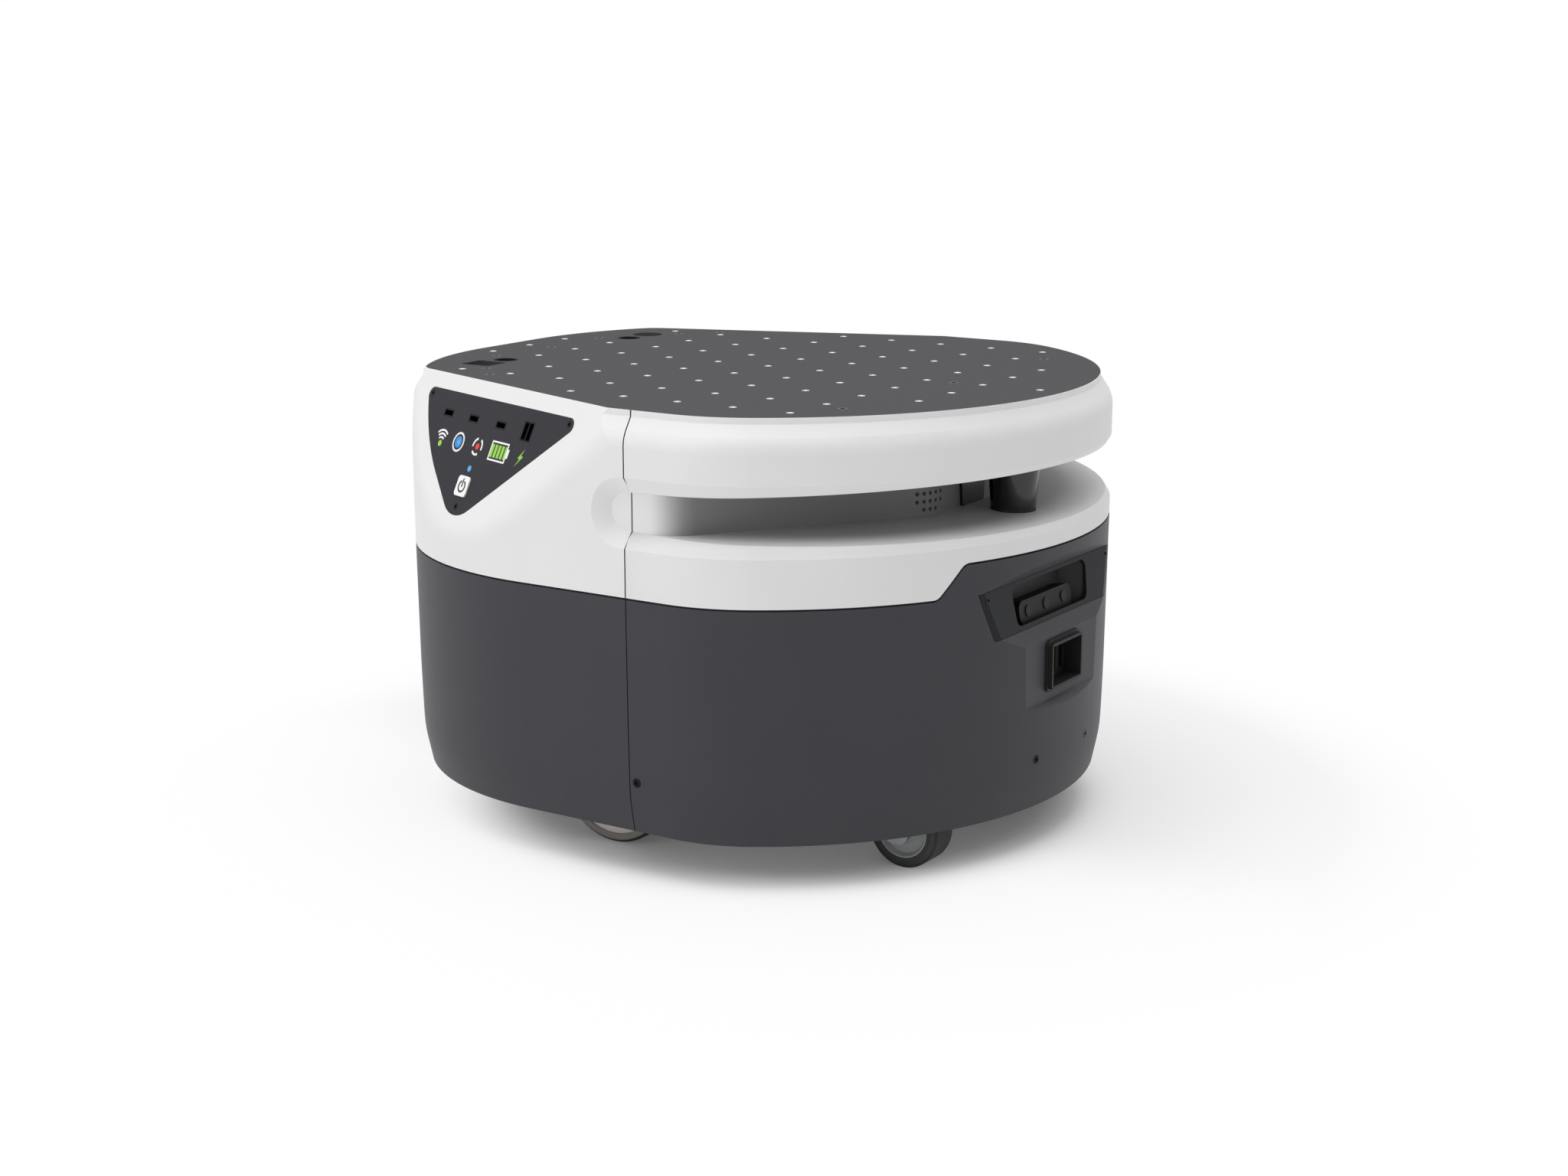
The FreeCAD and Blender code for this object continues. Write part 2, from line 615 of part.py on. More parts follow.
def deck_connectors():
    """Two round sockets, a capped port and a hatch cover, set into the rear of the deck."""
    pieces = []
    low = "deck_height - socket_depth"
    for side in (-1, 1):
        base = ("-socket_x", f"{side} * socket_y", low)
        hollow = ("-socket_x", f"{side} * socket_y", "deck_height - socket_depth / 2")
        shell = rod("deck_socket_shell", base, "socket_radius", "socket_depth")
        bore = rod("deck_socket_bore", hollow, "socket_radius - socket_wall", "socket_depth")
        pieces.append(minus("deck_socket", shell, bore))
    pieces.append(rod("deck_cap", ("-cap_x", "cap_y", "deck_height - deck_thickness"),
                      "cap_radius", "deck_thickness"))
    hatch = new_body("deck_hatch")
    drawing = new_sketch(hatch, "hatch_outline", lift="deck_height - deck_thickness")
    outline(drawing, hatch_corners())
    pad(hatch, drawing, "deck_thickness - 2")
    return group("deck_connectors", *pieces, hatch)


def deck_screws():
    return group("deck_screws", *[
        screw("deck_screw", (x, y, "deck_height"), DOWN, "deck_head", "deck_head_depth",
              "screw_shank", "screw_reach") for x, y in DECK_SCREWS])


def deck_posts():
    """Round posts that carry the deck on the chassis; most take a screw in their top."""
    plain = [("post_mid_x", "-post_mid_y"), ("post_mid_x", "post_mid_y")]
    top = "deck_height - deck_thickness"
    foot = "chassis_bottom + chassis_wall"
    posts = []
    for x, y in POST_SCREWS + plain:
        post = rod("post", (x, y, foot), "post_radius", f"{top} - ({foot})")
        if (x, y) in POST_SCREWS:
            bore = rod("post_bore", (x, y, f"{top} - screw_reach"), "screw_shank + thread_gap",
                       "screw_reach + 1")
            post = minus("bored_post", post, bore)
        posts.append(post)
    return group("deck_posts", *posts)


keep(deck_plate(), deck_connectors(), deck_screws(), deck_posts())

# ---------------------------------------------------------------- white covers

# Where the bevel under the rim would meet the upright flank if it were not rounded.
BEVEL_FOOT = "deck_height - rim_drop - (flank - rim_step) / tan(bevel_lean)"
DECK_UNDERSIDE = "deck_height - deck_thickness"
BEVEL = [
    ("rim_step", "deck_height + 5"),
    ("rim_step", "deck_height - rim_drop"),
    ("flank", BEVEL_FOOT, "bevel_round"),
    ("flank", "deck_height - brim_edge"),
    ("flank + 20", "deck_height - brim_edge"),
    ("flank + 20", "deck_height + 5"),
]


def trim(body, name, where):
    """Cut a body off at the seam: keep what is behind it or in front of it."""
    half_gap = "seam_gap / 2"
    corner = (f"seam_x - {half_gap}", "-400", "0")
    if where == "front":
        corner = (f"seam_x + {half_gap} - 500", "-400", "0")
    cut_block(body, name + "_seam", corner, ("500", "800", "deck_height + 50"))


def slot_end(body, grow):
    """The side slot's rounded end, dished outwards into the rear cover."""
    slope = "(slot_end_outer - slot_end_inner) / (flank + half_width - core_half)"
    reach = f"flank + half_width - core_half + 4 + ({grow})"
    small = f"slot_end_inner + 1.2 * ({grow})"
    large = f"{small} + ({reach}) * {slope}"
    for side in SIDES.values():
        cone_cut = body.newObject("PartDesign::SubtractiveCone", body.Name + "_slot_end")
        tie(cone_cut, "Radius1", small)
        tie(cone_cut, "Radius2", large)
        tie(cone_cut, "Height", reach)
        depth = f"{side} * (core_half - ({grow}))"
        place(cone_cut, ("slot_end_x", depth, "slot_end_z"), AGAINST_Y if side < 0 else ALONG_Y)


def upper_form(name, inset, low, high, facet_out):
    """The covers' full shape: flank, bevel, facets and the soft creases beside the facets."""
    body = new_body(name)
    drawing = new_sketch(body, name + "_plan", lift=low)
    plan(drawing, f"flank - {inset}")
    pad(body, drawing, f"{high} - ({low})")
    cut_facets(body, facet_out)
    round_edges(body, f"crease_round - {inset}", lambda edge: is_crease(edge, facet_out))
    sweep(body, name + "_bevel", BEVEL, "SubtractivePipe", inset)
    return body


def panel_corners(corner="panel_corner", bow="panel_bow"):
    """The control panel's outline on the right facet."""
    return [("-panel_front", "-panel_top", corner), ("-panel_rear", "-panel_top", corner),
            ("-panel_waist", "-panel_waist_drop", bow),
            ("-panel_foot", "-panel_foot_drop", "panel_foot_round")]


INTO_PANEL = facet_turn(-1) * DOWN


def panel_screw_places():
    return [on_facet(-1, along, up) for along, up in (
        ("-panel_screw_front", "-panel_screw_drop"), ("-panel_screw_rear", "-panel_screw_drop"),
        ("-panel_screw_foot", "-panel_screw_low"))]


def rear_upper_cover():
    foot = "split_height + split_gap / 2"
    outer = upper_form("rear_cover_skin", "0", foot, "deck_height", "0")
    trim(outer, "rear_cover_skin", "rear")
    slot_end(outer, "0")
    recess = tilted_sketch(outer, "panel_recess", on_facet(-1), facet_turn(-1))
    outline(recess, panel_corners(), "fit_gap")
    pocket(outer, recess, "panel_wall")
    window = tilted_sketch(outer, "panel_window", on_facet(-1), facet_turn(-1))
    outline(window, panel_corners("opening_corner", "opening_bow"), "-panel_ledge")
    pocket(outer, window, "facet_wall + 6")
    inner = upper_form("rear_cover_hollow", "cover_wall", "split_height - 20",
                       f"{DECK_UNDERSIDE} - cover_wall", "-facet_wall")
    slot_end(inner, "cover_wall")
    seat = deck_form("deck_seat", "fit_gap", DECK_UNDERSIDE, "deck_thickness + 5")
    opening = deck_form("deck_opening", "-rear_seat", "deck_height - 30", "30", rounded=False)
    bores = [rod("seat_bore", (x, y, "deck_height - 30"), "screw_shank + thread_gap", "30")
             for x, y in SEAT_SCREWS]
    bores += [rod("panel_bore", place_, "small_shank + thread_gap", "small_reach + 2", INTO_PANEL)
              for place_ in panel_screw_places()]
    return minus("rear_upper_cover", outer, inner, seat, opening, *bores)


def core_corners(rear="seam_x + seam_gap / 2"):
    """The wall behind the slot in plan, from its right rear end round the front."""
    corner_y = "(core_half - (core_front - core_bend_x) * tan(core_angle))"
    right = [(rear, "-core_half"), ("core_bend_x", "-core_half", "core_bend_round"),
             ("core_front", f"-{corner_y}", "core_corner_round")]
    left = [("core_front", corner_y, "core_corner_round"),
            ("core_bend_x", "core_half", "core_bend_round"), (rear, "core_half")]
    return right + left


def cut_level(body, level, pitch, above):
    """Cut a body off along a plane at a level by the seam that rises towards the nose."""
    x, z = "seam_x - 60", f"{level} - 60 * tan({pitch})"
    if not above:
        x, z = f"{x} + 60 * sin({pitch})", f"{z} - 60 * cos({pitch})"
    turn = Rotation(Vector(0, 1, 0), -calc(pitch))
    cut_block(body, body.Name + "_slope", (x, "-300", z), ("420", "600", "60"), turn)


CEILING_RISE = "(nose_radius - nose_setback - seam_x) * tan(ceiling_pitch)"


def front_brim():
    """Upper front cover: rim, bevel, chamfered brim and the ceiling of the slot."""
    body = new_body("front_brim")
    ceiling = new_sketch(body, "brim_ceiling", lift="slot_top")
    plan(ceiling, "brim_foot / 2")
    pad(body, ceiling, f"cover_wall + {CEILING_RISE}")
    cut_level(body, "slot_top + cover_wall", "ceiling_pitch", above=True)
    for x, y in BOSS_SCREWS:
        round_part(body, "Additive", "brim_boss", (x, y, "slot_top"), "boss_radius",
                   f"{DECK_UNDERSIDE} - slot_top")
    lean = "rim_step - cover_wall / cos(bevel_lean)"
    inner_foot = f"{BEVEL_FOOT} - cover_wall * tan(bevel_lean / 2)"
    rise = f"slot_top + cover_wall + {CEILING_RISE}"
    section = [
        ("fit_gap", "deck_height"), ("rim_step - fit_gap", "deck_height"),
        ("rim_step", "deck_height - rim_drop"), ("flank", BEVEL_FOOT, "bevel_round"),
        ("flank", "deck_height - brim_edge"),
        ("flank - chamfer_in", "deck_height - brim_edge - chamfer_drop"),
        ("brim_foot", "slot_top"), ("0", "slot_top"), ("0", rise),
        ("flank - cover_wall - 1", rise), ("flank - cover_wall", "deck_height - brim_edge + 1"),
        ("flank - cover_wall", inner_foot, "bevel_round - cover_wall"),
        (f"{lean} + (deck_thickness + cover_wall - rim_drop) * tan(bevel_lean)",
         f"{DECK_UNDERSIDE} - cover_wall"),
        ("-brim_seat", f"{DECK_UNDERSIDE} - cover_wall"), ("-brim_seat", DECK_UNDERSIDE),
        ("fit_gap", DECK_UNDERSIDE),
    ]
    sweep(body, "brim_ring", section)
    inside = new_sketch(body, "brim_inside", lift="slot_top - 1")
    outline(inside, core_corners("seam_x - 100"), "-core_wall - core_flange")
    pocket(body, inside, f"cover_wall + {CEILING_RISE} + 2", upwards=True)
    round_part(body, "Subtractive", "post_clearance", (*FRONT_POST, "slot_top - 1"),
               "post_radius + fit_gap", f"cover_wall + {CEILING_RISE} + 2")
    bosses = new_sketch(body, "boss_bores", lift=DECK_UNDERSIDE)
    circles(bosses, [(x, y, "screw_shank + thread_gap") for x, y in BOSS_SCREWS])
    pocket(body, bosses, "screw_reach")
    cut_level(body, "slot_top", "ceiling_pitch", above=False)
    trim(body, "brim", "front")
    return body


def slot_wall():
    """The dark wall behind the slot, with a sound grille in each front corner."""
    body = new_body("slot_wall")
    drawing = new_sketch(body, "wall_outline", lift="slot_floor - 12")
    outline(drawing, core_corners())
    pad(body, drawing, f"slot_top - slot_floor + 12 + {CEILING_RISE}")
    inside = new_sketch(body, "wall_inside", lift="slot_floor - 14")
    outline(inside, core_corners("seam_x - 40"), "-core_wall")
    pocket(body, inside, f"slot_top - slot_floor + 16 + {CEILING_RISE}", upwards=True)
    cut_level(body, "slot_floor", "-floor_pitch", above=False)
    cut_level(body, "slot_top", "ceiling_pitch", above=True)
    for side in SIDES.values():
        base, turn = grille_place(side, "4")
        grille = tilted_sketch(body, "grille", base, turn)
        steps = [(i, j) for i in range(-2, 3) for j in range(-2, 3) if abs(i) + abs(j) < 4]
        circles(grille, [(f"{i} * grille_pitch", f"{j} * grille_pitch", "grille_hole")
                         for i, j in steps])
        pocket(body, grille, "14")
    return body


def grille_place(side, out):
    """Middle of a front corner of the slot wall, moved square out from it."""
    corner_y = "(core_half - (core_front - core_bend_x) * tan(core_angle))"
    half = "(90 - core_angle) / 2"
    centre_x = "core_front - core_corner_round"
    centre_y = f"({corner_y} - core_corner_round * tan({half}))"
    reach = f"(core_corner_round + {out})"
    base = (f"{centre_x} + {reach} * cos({half})", f"{side} * ({centre_y} + {reach} * sin({half}))",
            "slot_floor - 2.5 + grille_rise + 2 * grille_pitch - 2 * thread_gap")
    turn = Rotation(Vector(0, 0, 1), side * (90 - calc("core_angle")) / 2)
    return base, turn * Rotation(Vector(1, 1, 1), 120)


def speakers():
    """A round speaker behind each grille."""
    pair = []
    sag = "(core_corner_round - core_wall)"
    back = f"-core_wall - fit_gap - {sag} + sqrt({sag} ^ 2 - speaker_radius ^ 2) - speaker_depth"
    for side in SIDES.values():
        base, turn = grille_place(side, f"({back})")
        pair.append(rod("speaker", base, "speaker_radius", "speaker_depth", turn))
    return group("speakers", *pair)


def sensor_window():
    """A dark sensor window that widens upwards, on the front of the slot wall."""
    body = new_body("sensor_window")
    drawing = new_sketch(body, "window_outline", "YZ_Plane", "core_front")
    foot = "slot_floor - (core_front - seam_x) * tan(floor_pitch)"
    top = "slot_top + (core_front - seam_x) * tan(ceiling_pitch)"
    outline(drawing, [("-sensor_half", foot), ("sensor_half", foot),
                      ("sensor_flare", top), ("-sensor_flare", top)])
    pad(body, drawing, "sensor_depth")
    return body


LEDGE = [
    ("flank", "ledge_edge"), ("flank - ledge_in", "ledge_edge + ledge_rise", "ledge_round"),
    ("ledge_inner", "slot_floor + fit_gap"), ("ledge_inner", "slot_floor + 12"),
    ("flank + 20", "slot_floor + 12"), ("flank + 20", "ledge_edge"),
]
# The line between the white covers and the dark skirt: it steps up over the nose.
BELOW_SPLIT = [
    ("-400", "split_height - 60"), ("400", "split_height - 60"), ("400", "split_height"),
    ("step_half_bottom", "split_height", "step_round"),
    ("step_half_top", "nose_split", "step_round"),
    ("-step_half_top", "nose_split", "step_round"),
    ("-step_half_bottom", "split_height", "step_round"), ("-400", "split_height"),
]
ABOVE_SPLIT = BELOW_SPLIT[2:] + [("-400", "split_height + 60"), ("400", "split_height + 60")]


def cut_along_split(body, corners, grow):
    drawing = new_sketch(body, body.Name + "_split", "YZ_Plane")
    outline(drawing, corners, grow)
    pocket(body, drawing, "400", upwards=True)


def front_ledge_cover():
    """Lower front cover: flank, rounded ledge and the slot's floor with the scanner's seat."""
    outer = new_body("ledge_skin")
    drawing = new_sketch(outer, "ledge_plan", lift="split_height")
    plan(drawing, "flank")
    pad(outer, drawing, "slot_floor + 2 - split_height")
    sweep(outer, "ledge_edge", LEDGE, "SubtractivePipe")
    cut_level(outer, "slot_floor", "-floor_pitch", above=True)
    trim(outer, "ledge", "front")
    cut_along_split(outer, BELOW_SPLIT, "split_gap / 2")
    inside = new_sketch(outer, "ledge_inside", lift="slot_floor + 1")
    outline(inside, core_corners("seam_x - 100"), "-core_wall - core_flange")
    pocket(outer, inside, "60")
    round_part(outer, "Subtractive", "scanner_seat", ("scanner_x", "0", "scanner_seat"),
               "scanner_foot + fit_gap", "10")
    round_part(outer, "Subtractive", "post_clearance", (*FRONT_POST, "slot_floor - 30"),
               "post_radius + fit_gap", "60")
    hollow = new_body("ledge_hollow")
    drawing = new_sketch(hollow, "hollow_plan", lift="split_height - 20")
    plan(drawing, "flank - cover_wall")
    pad(hollow, drawing, "slot_floor + 22 - split_height")
    sweep(hollow, "hollow_edge", LEDGE, "SubtractivePipe", "cover_wall")
    cut_level(hollow, "slot_floor - floor_wall", "-floor_pitch", above=True)
    return minus("front_ledge_cover", outer, hollow)


keep(rear_upper_cover(), front_brim(), slot_wall(), front_ledge_cover(), sensor_window(),
     speakers())

# ---------------------------------------------------------------- dark skirt and the nose

SKIRT = [
    ("skirt_top_out", "nose_split"), ("belly_out", "belly_height", "belly_round"),
    ("hem_out", "hem_height", "hem_round"), ("skirt_out", "skirt_bottom"),
    ("skirt_out - skirt_wall", "skirt_bottom"),
    ("hem_out - skirt_wall", "hem_height", "hem_round - skirt_wall"),
    ("belly_out - skirt_wall", "belly_height", "belly_round - skirt_wall"),
    ("skirt_top_out - skirt_wall", "nose_split"),
]
# A thin tongue behind the split closes the gap between the skirt and the white covers.
TONGUE_FACE = "flank - cover_wall - fit_gap"
TONGUE = [
    (TONGUE_FACE, "nose_split + tongue_height"),
    (TONGUE_FACE, "split_height"),
    ("skirt_top_out - skirt_wall + fit_gap", "split_height - split_gap"),
    ("skirt_top_out - skirt_wall + fit_gap", "split_height - tongue_root"),
    (f"{TONGUE_FACE} - tongue_wall", "split_height - tongue_root"),
    (f"{TONGUE_FACE} - tongue_wall", "nose_split + tongue_height"),
]
# What is cut from the nose, seen from the side: brow, bezel seat, slope and charging face.
BEZEL_BACK = ("bezel_wall * cos(bezel_tilt)", "bezel_wall * sin(bezel_tilt)")
TOP_X = "(bezel_x - (bezel_rise + fit_gap) * sin(bezel_tilt))"
TOP_Z = "(bezel_low + (bezel_rise + fit_gap) * cos(bezel_tilt))"
LOW_X = "(bezel_x + fit_gap * sin(bezel_tilt))"
LOW_Z = "(bezel_low - fit_gap * cos(bezel_tilt))"
NOSE_CUT = [
    ("brow_x + 30", "brow_height"), ("brow_x", "brow_height"), (TOP_X, TOP_Z),
    (f"{TOP_X} - {BEZEL_BACK[0]}", f"{TOP_Z} - {BEZEL_BACK[1]}"),
    (f"{LOW_X} - {BEZEL_BACK[0]}", f"{LOW_Z} - {BEZEL_BACK[1]}"), (LOW_X, LOW_Z),
    ("charge_face", "charge_top"), ("charge_face", "charge_low"),
    ("chin_x", "chin_height"), ("brow_x + 30", "chin_height"),
]
BEZEL_TURN = Rotation(Vector(0, 1, 0), -calc("bezel_tilt")) * Rotation(Vector(1, 1, 1), 120)
INTO_BEZEL = BEZEL_TURN * DOWN
POCKET_TURN = BEZEL_TURN * ALONG_Y


def on_bezel(across="0", up="0", out="0"):
    """A place on the bezel's face: to the left, up its slope and outwards."""
    return (f"bezel_x - ({up}) * sin(bezel_tilt) + ({out}) * cos(bezel_tilt)", across,
            f"bezel_low + ({up}) * cos(bezel_tilt) + ({out}) * sin(bezel_tilt)")


def skirt_screw_places():
    """Skirt screws: two in the nose, one on each flank by the seam and two in the tail."""
    places = []
    nose = "(nose_radius + hem_out + (chassis_bottom - hem_height) * (belly_out - hem_out)" \
           " / (belly_height - hem_height) + fit_gap)"
    level = "chassis_bottom + chassis_wall / 2"
    for side in (-1, 1):
        x = f"-nose_setback + sqrt({nose} ^ 2 - nose_screw_y ^ 2)"
        angle = math.atan2(calc("nose_screw_y"), calc(f"{x} + nose_setback"))
        inwards = Vector(-math.cos(angle), -side * math.sin(angle), 0)
        places.append((x, f"{side} * nose_screw_y", level, inwards))
        y = f"{side} * (half_width - nose_radius + {nose})"
        places.append(("seam_x + seam_screw_in", y, level, Vector(0, -side, 0)))
        tail = f"-tail_reach + nose_radius - {nose}"
        places.append((tail, f"{side} * tail_screw_y", level, Vector(1, 0, 0)))
    return [((x, y, z), Rotation(Vector(0, 0, 1), way)) for x, y, z, way in places]


def skirt_ring(name, where):
    """One half of the skirt: bulging wall, tongue and the seats of its screws."""
    wall = new_body(name + "_wall")
    sweep(wall, name + "_section", SKIRT)
    trim(wall, name + "_wall", where)
    tongue = new_body(name + "_tongue")
    sweep(tongue, name + "_tongue_section", TONGUE)
    trim(tongue, name + "_tongue", where)
    for body, grow in ((wall, "split_gap / 2"), (tongue, "-tongue_height")):
        if where == "front":
            cut_along_split(body, ABOVE_SPLIT, grow)
        else:
            corner = ("-400", "-400", f"split_height - ({grow})")
            cut_block(body, body.Name + "_top", corner, ("600", "800", "100"))
    return wall, tongue


def screw_seats(where):
    seats = []
    for base, turn in skirt_screw_places():
        if (calc(base[0]) > calc("seam_x")) == (where == "front"):
            seats.append(rod("seat", base, "skirt_head + thread_gap", "skirt_head_depth", turn))
            seats.append(rod("bore", base, "skirt_shank + thread_gap", "skirt_reach", turn))
    return seats


def window_corners():
    low = [("-window_foot", "window_low", "window_round"),
           ("window_foot", "window_low", "window_round")]
    high = [("window_half", "window_high", "window_round"),
            ("-window_half", "window_high", "window_round")]
    return low + high


def port_corners(grow="0"):
    half, low, high = f"port_half + {grow}", f"port_low - {grow}", f"port_high + {grow}"
    rounding = f"port_round + {grow}"
    return [(f"-({half})", low, rounding), (half, low, rounding), (half, high, rounding),
            (f"-({half})", high, rounding)]


def front_skirt():
    wall, tongue = skirt_ring("front_skirt", "front")
    block_plan = new_body("nose_block_plan")
    drawing = new_sketch(block_plan, "nose_block_outline", lift="chin_height - 12")
    plan(drawing, "nose_block_out")
    pad(block_plan, drawing, "brow_height - chin_height + 19")
    profile = new_body("nose_block_profile")
    drawing = new_sketch(profile, "nose_block_section", "XZ_Plane")
    outline(drawing, NOSE_CUT, "nose_wall")
    pad(profile, drawing, "2 * nose_block_half", both_ways=True)
    nose = shared("nose_block", block_plan, profile)
    cut = new_body("nose_cut")
    drawing = new_sketch(cut, "nose_cut_section", "XZ_Plane")
    outline(drawing, NOSE_CUT)
    pad(cut, drawing, "300", both_ways=True)
    rim = "(pocket_wall + fit_gap)"
    window = block("window_hole", on_bezel(f"-window_half - {rim}",
                                           f"window_low - pocket_sill - {rim}",
                                           "-bezel_wall - 30"),
                   (f"2 * (window_half + {rim})",
                    f"window_high - window_low + pocket_sill + 2 * {rim}", "30"), BEZEL_TURN)
    port = new_body("port_hole")
    drawing = new_sketch(port, "port_hole_outline", "YZ_Plane", "charge_face")
    outline(drawing, port_corners("fit_gap"))
    pad(port, drawing, "20", both_ways=True)
    bores = [rod("bezel_bore", on_bezel(y, "bezel_screw_rise"), "small_shank + thread_gap",
                 "bezel_wall + small_reach", INTO_BEZEL)
             for y in ("-bezel_screw_y", "bezel_screw_y")]
    shell = joined("front_skirt_blank", wall, tongue, nose)
    return minus("front_skirt", shell, cut, window, port, *bores, *screw_seats("front"))


def rear_skirt():
    wall, tongue = skirt_ring("rear_skirt", "rear")
    return minus("rear_skirt", joined("rear_skirt_blank", wall, tongue), *screw_seats("rear"))


def skirt_screws():
    return group("skirt_screws", *[
        screw("skirt_screw", base, turn, "skirt_head", "skirt_head_depth", "skirt_shank",
              "skirt_reach - skirt_head_depth") for base, turn in skirt_screw_places()])


def camera_bezel():
    """Flat plate across the nose with the camera's window; its ends follow the plan."""
    plate = new_body("bezel_plate")
    drawing = tilted_sketch(plate, "bezel_outline", on_bezel(), BEZEL_TURN)
    outline(drawing, [("-bezel_half", "0"), ("bezel_half", "0"), ("bezel_half", "bezel_rise"),
                      ("-bezel_half", "bezel_rise")])
    pad(plate, drawing, "bezel_wall", downwards=True)
    window = tilted_sketch(plate, "bezel_window", on_bezel(), BEZEL_TURN)
    outline(window, window_corners())
    pocket(plate, window, "bezel_wall + 1")
    limit = new_body("bezel_limit")
    drawing = new_sketch(limit, "bezel_limit_outline", lift="bezel_low - 10")
    plan(drawing, "bezel_out")
    pad(limit, drawing, "bezel_rise + 20")
    bores = []
    for y in ("-bezel_screw_y", "bezel_screw_y"):
        place_ = on_bezel(y, "bezel_screw_rise")
        bores.append(rod("head_seat", place_, "small_head + thread_gap", "small_head_depth",
                         INTO_BEZEL))
        bores.append(rod("shank_bore", place_, "small_shank + thread_gap", "bezel_wall + 1",
                         INTO_BEZEL))
    return minus("camera_bezel", shared("bezel_blank", plate, limit), *bores)


def bezel_screws():
    return group("bezel_screws", *[
        screw("bezel_screw", on_bezel(y, "bezel_screw_rise"), INTO_BEZEL, "small_head",
              "small_head_depth", "small_shank", "small_reach")
        for y in ("-bezel_screw_y", "bezel_screw_y")])


def pocket_step(body, name, grow, front, back):
    """Sketch the camera pocket from above: it narrows from the window to its back wall."""
    low = f"window_low - pocket_sill - ({grow})"
    drawing = tilted_sketch(body, name, on_bezel(up=low), POCKET_TURN)
    outline(drawing, [(f"-window_half - ({grow})", front), (f"window_half + {grow}", front),
                      (f"pocket_half + {grow}", back), (f"-pocket_half - ({grow})", back)])
    return drawing, f"window_high - window_low + pocket_sill + 2 * ({grow})"


def camera_pocket():
    """Liner behind the window with slanting side walls; the camera sits on its back wall."""
    body = new_body("camera_pocket")
    outer, height = pocket_step(body, "pocket_outside", "pocket_wall", "bezel_wall",
                                "bezel_wall + pocket_depth")
    pad(body, outer, height)
    inner, height = pocket_step(body, "pocket_inside", "0", "bezel_wall - 1",
                                "bezel_wall + pocket_depth - pocket_wall")
    pocket(body, inner, height, upwards=True)
    return body


CAMERA_FOOT = "window_low - pocket_sill + fit_gap"


def camera_body():
    """A wide stereo camera with rounded ends."""
    body = new_body("camera_body")
    drawing = tilted_sketch(body, "camera_outline", on_bezel(out="-camera_setback"), BEZEL_TURN)
    top = f"{CAMERA_FOOT} + camera_tall"
    outline(drawing, [("-camera_half", CAMERA_FOOT, "camera_round"),
                      ("camera_half", CAMERA_FOOT, "camera_round"),
                      ("camera_half", top, "camera_round"), ("-camera_half", top, "camera_round")])
    pad(body, drawing, "pocket_depth + bezel_wall - pocket_wall - camera_setback",
        downwards=True)
    return body


def camera_lenses():
    return group("camera_lenses", *[
        rod("camera_lens", on_bezel(f"{step} * lens_spread", f"{CAMERA_FOOT} + camera_tall / 2",
                                    "-camera_setback"),
            "lens_radius", "lens_wall", BEZEL_TURN) for step in (-1, 0, 1)])


def charge_flange():
    body = new_body("charge_flange")
    drawing = new_sketch(body, "flange_outline", "YZ_Plane", "charge_face")
    outline(drawing, port_corners("flange_rim"))
    pad(body, drawing, "flange_wall")
    hole = new_sketch(body, "flange_hole", "YZ_Plane", "charge_face")
    outline(hole, port_corners("thread_gap"))
    pocket(body, hole, "flange_wall + 1", upwards=True)
    return body


def charge_socket():
    """A rectangular cup that carries the charging blades."""
    body = new_body("charge_socket")
    drawing = new_sketch(body, "socket_outline", "YZ_Plane", "charge_face - port_depth")
    outline(drawing, port_corners())
    pad(body, drawing, "port_depth + port_reach")
    inside = new_sketch(body, "socket_inside", "YZ_Plane",
                        "charge_face - port_depth + port_wall")
    outline(inside, port_corners("(-port_wall)"))
    pocket(body, inside, "port_depth + port_reach", upwards=True)
    return body


def charge_contacts():
    blades = []
    middle = "(port_low + port_high) / 2"
    for k in range(int(calc("blade_count"))):
        y = f"({k} - (blade_count - 1) / 2) * blade_pitch - blade_wall / 2"
        corner = ("charge_face - port_depth + port_wall", y, f"{middle} - blade_height / 2")
        blades.append(block("charge_blade", corner, ("blade_reach", "blade_wall",
                                                     "blade_height")))
    return group("charge_contacts", *blades)


keep(front_skirt(), rear_skirt(), skirt_screws(), camera_bezel(), bezel_screws(),
     camera_pocket(), camera_body(), camera_lenses(), charge_flange(), charge_socket(),
     charge_contacts())

# ---------------------------------------------------------------- scanner in the slot


def lidar_base():
    """Round foot with the spindle that carries the turning mirror."""
    body = new_body("lidar_base")
    centre = ("scanner_x", "0", "scanner_seat")
    round_part(body, "Additive", "base_disc", centre, "scanner_foot", "scanner_base")
    round_part(body, "Additive", "base_collar", centre, "spindle_radius + 3",
               "scanner_base + spindle_height - spindle_reach")
    round_part(body, "Additive", "base_spindle", centre, "spindle_radius",
               "scanner_base + spindle_height")
    return body


def lidar_window():
    """Dark cup that widens upwards from its foot to the slot's ceiling."""
    base = ("scanner_x", "0", "scanner_seat + scanner_base")
    ceiling = "slot_top + (scanner_x - scanner_crown - seam_x) * tan(ceiling_pitch)"
    height = f"({ceiling} - fit_gap - scanner_seat - scanner_base)"
    skin = cone("window_skin", base, "scanner_foot", "scanner_crown", height)
    hollow = cone("window_hollow", base, "scanner_foot - scanner_wall",
                  "scanner_crown - scanner_wall", f"{height} - scanner_wall")
    return minus("lidar_window", skin, hollow)


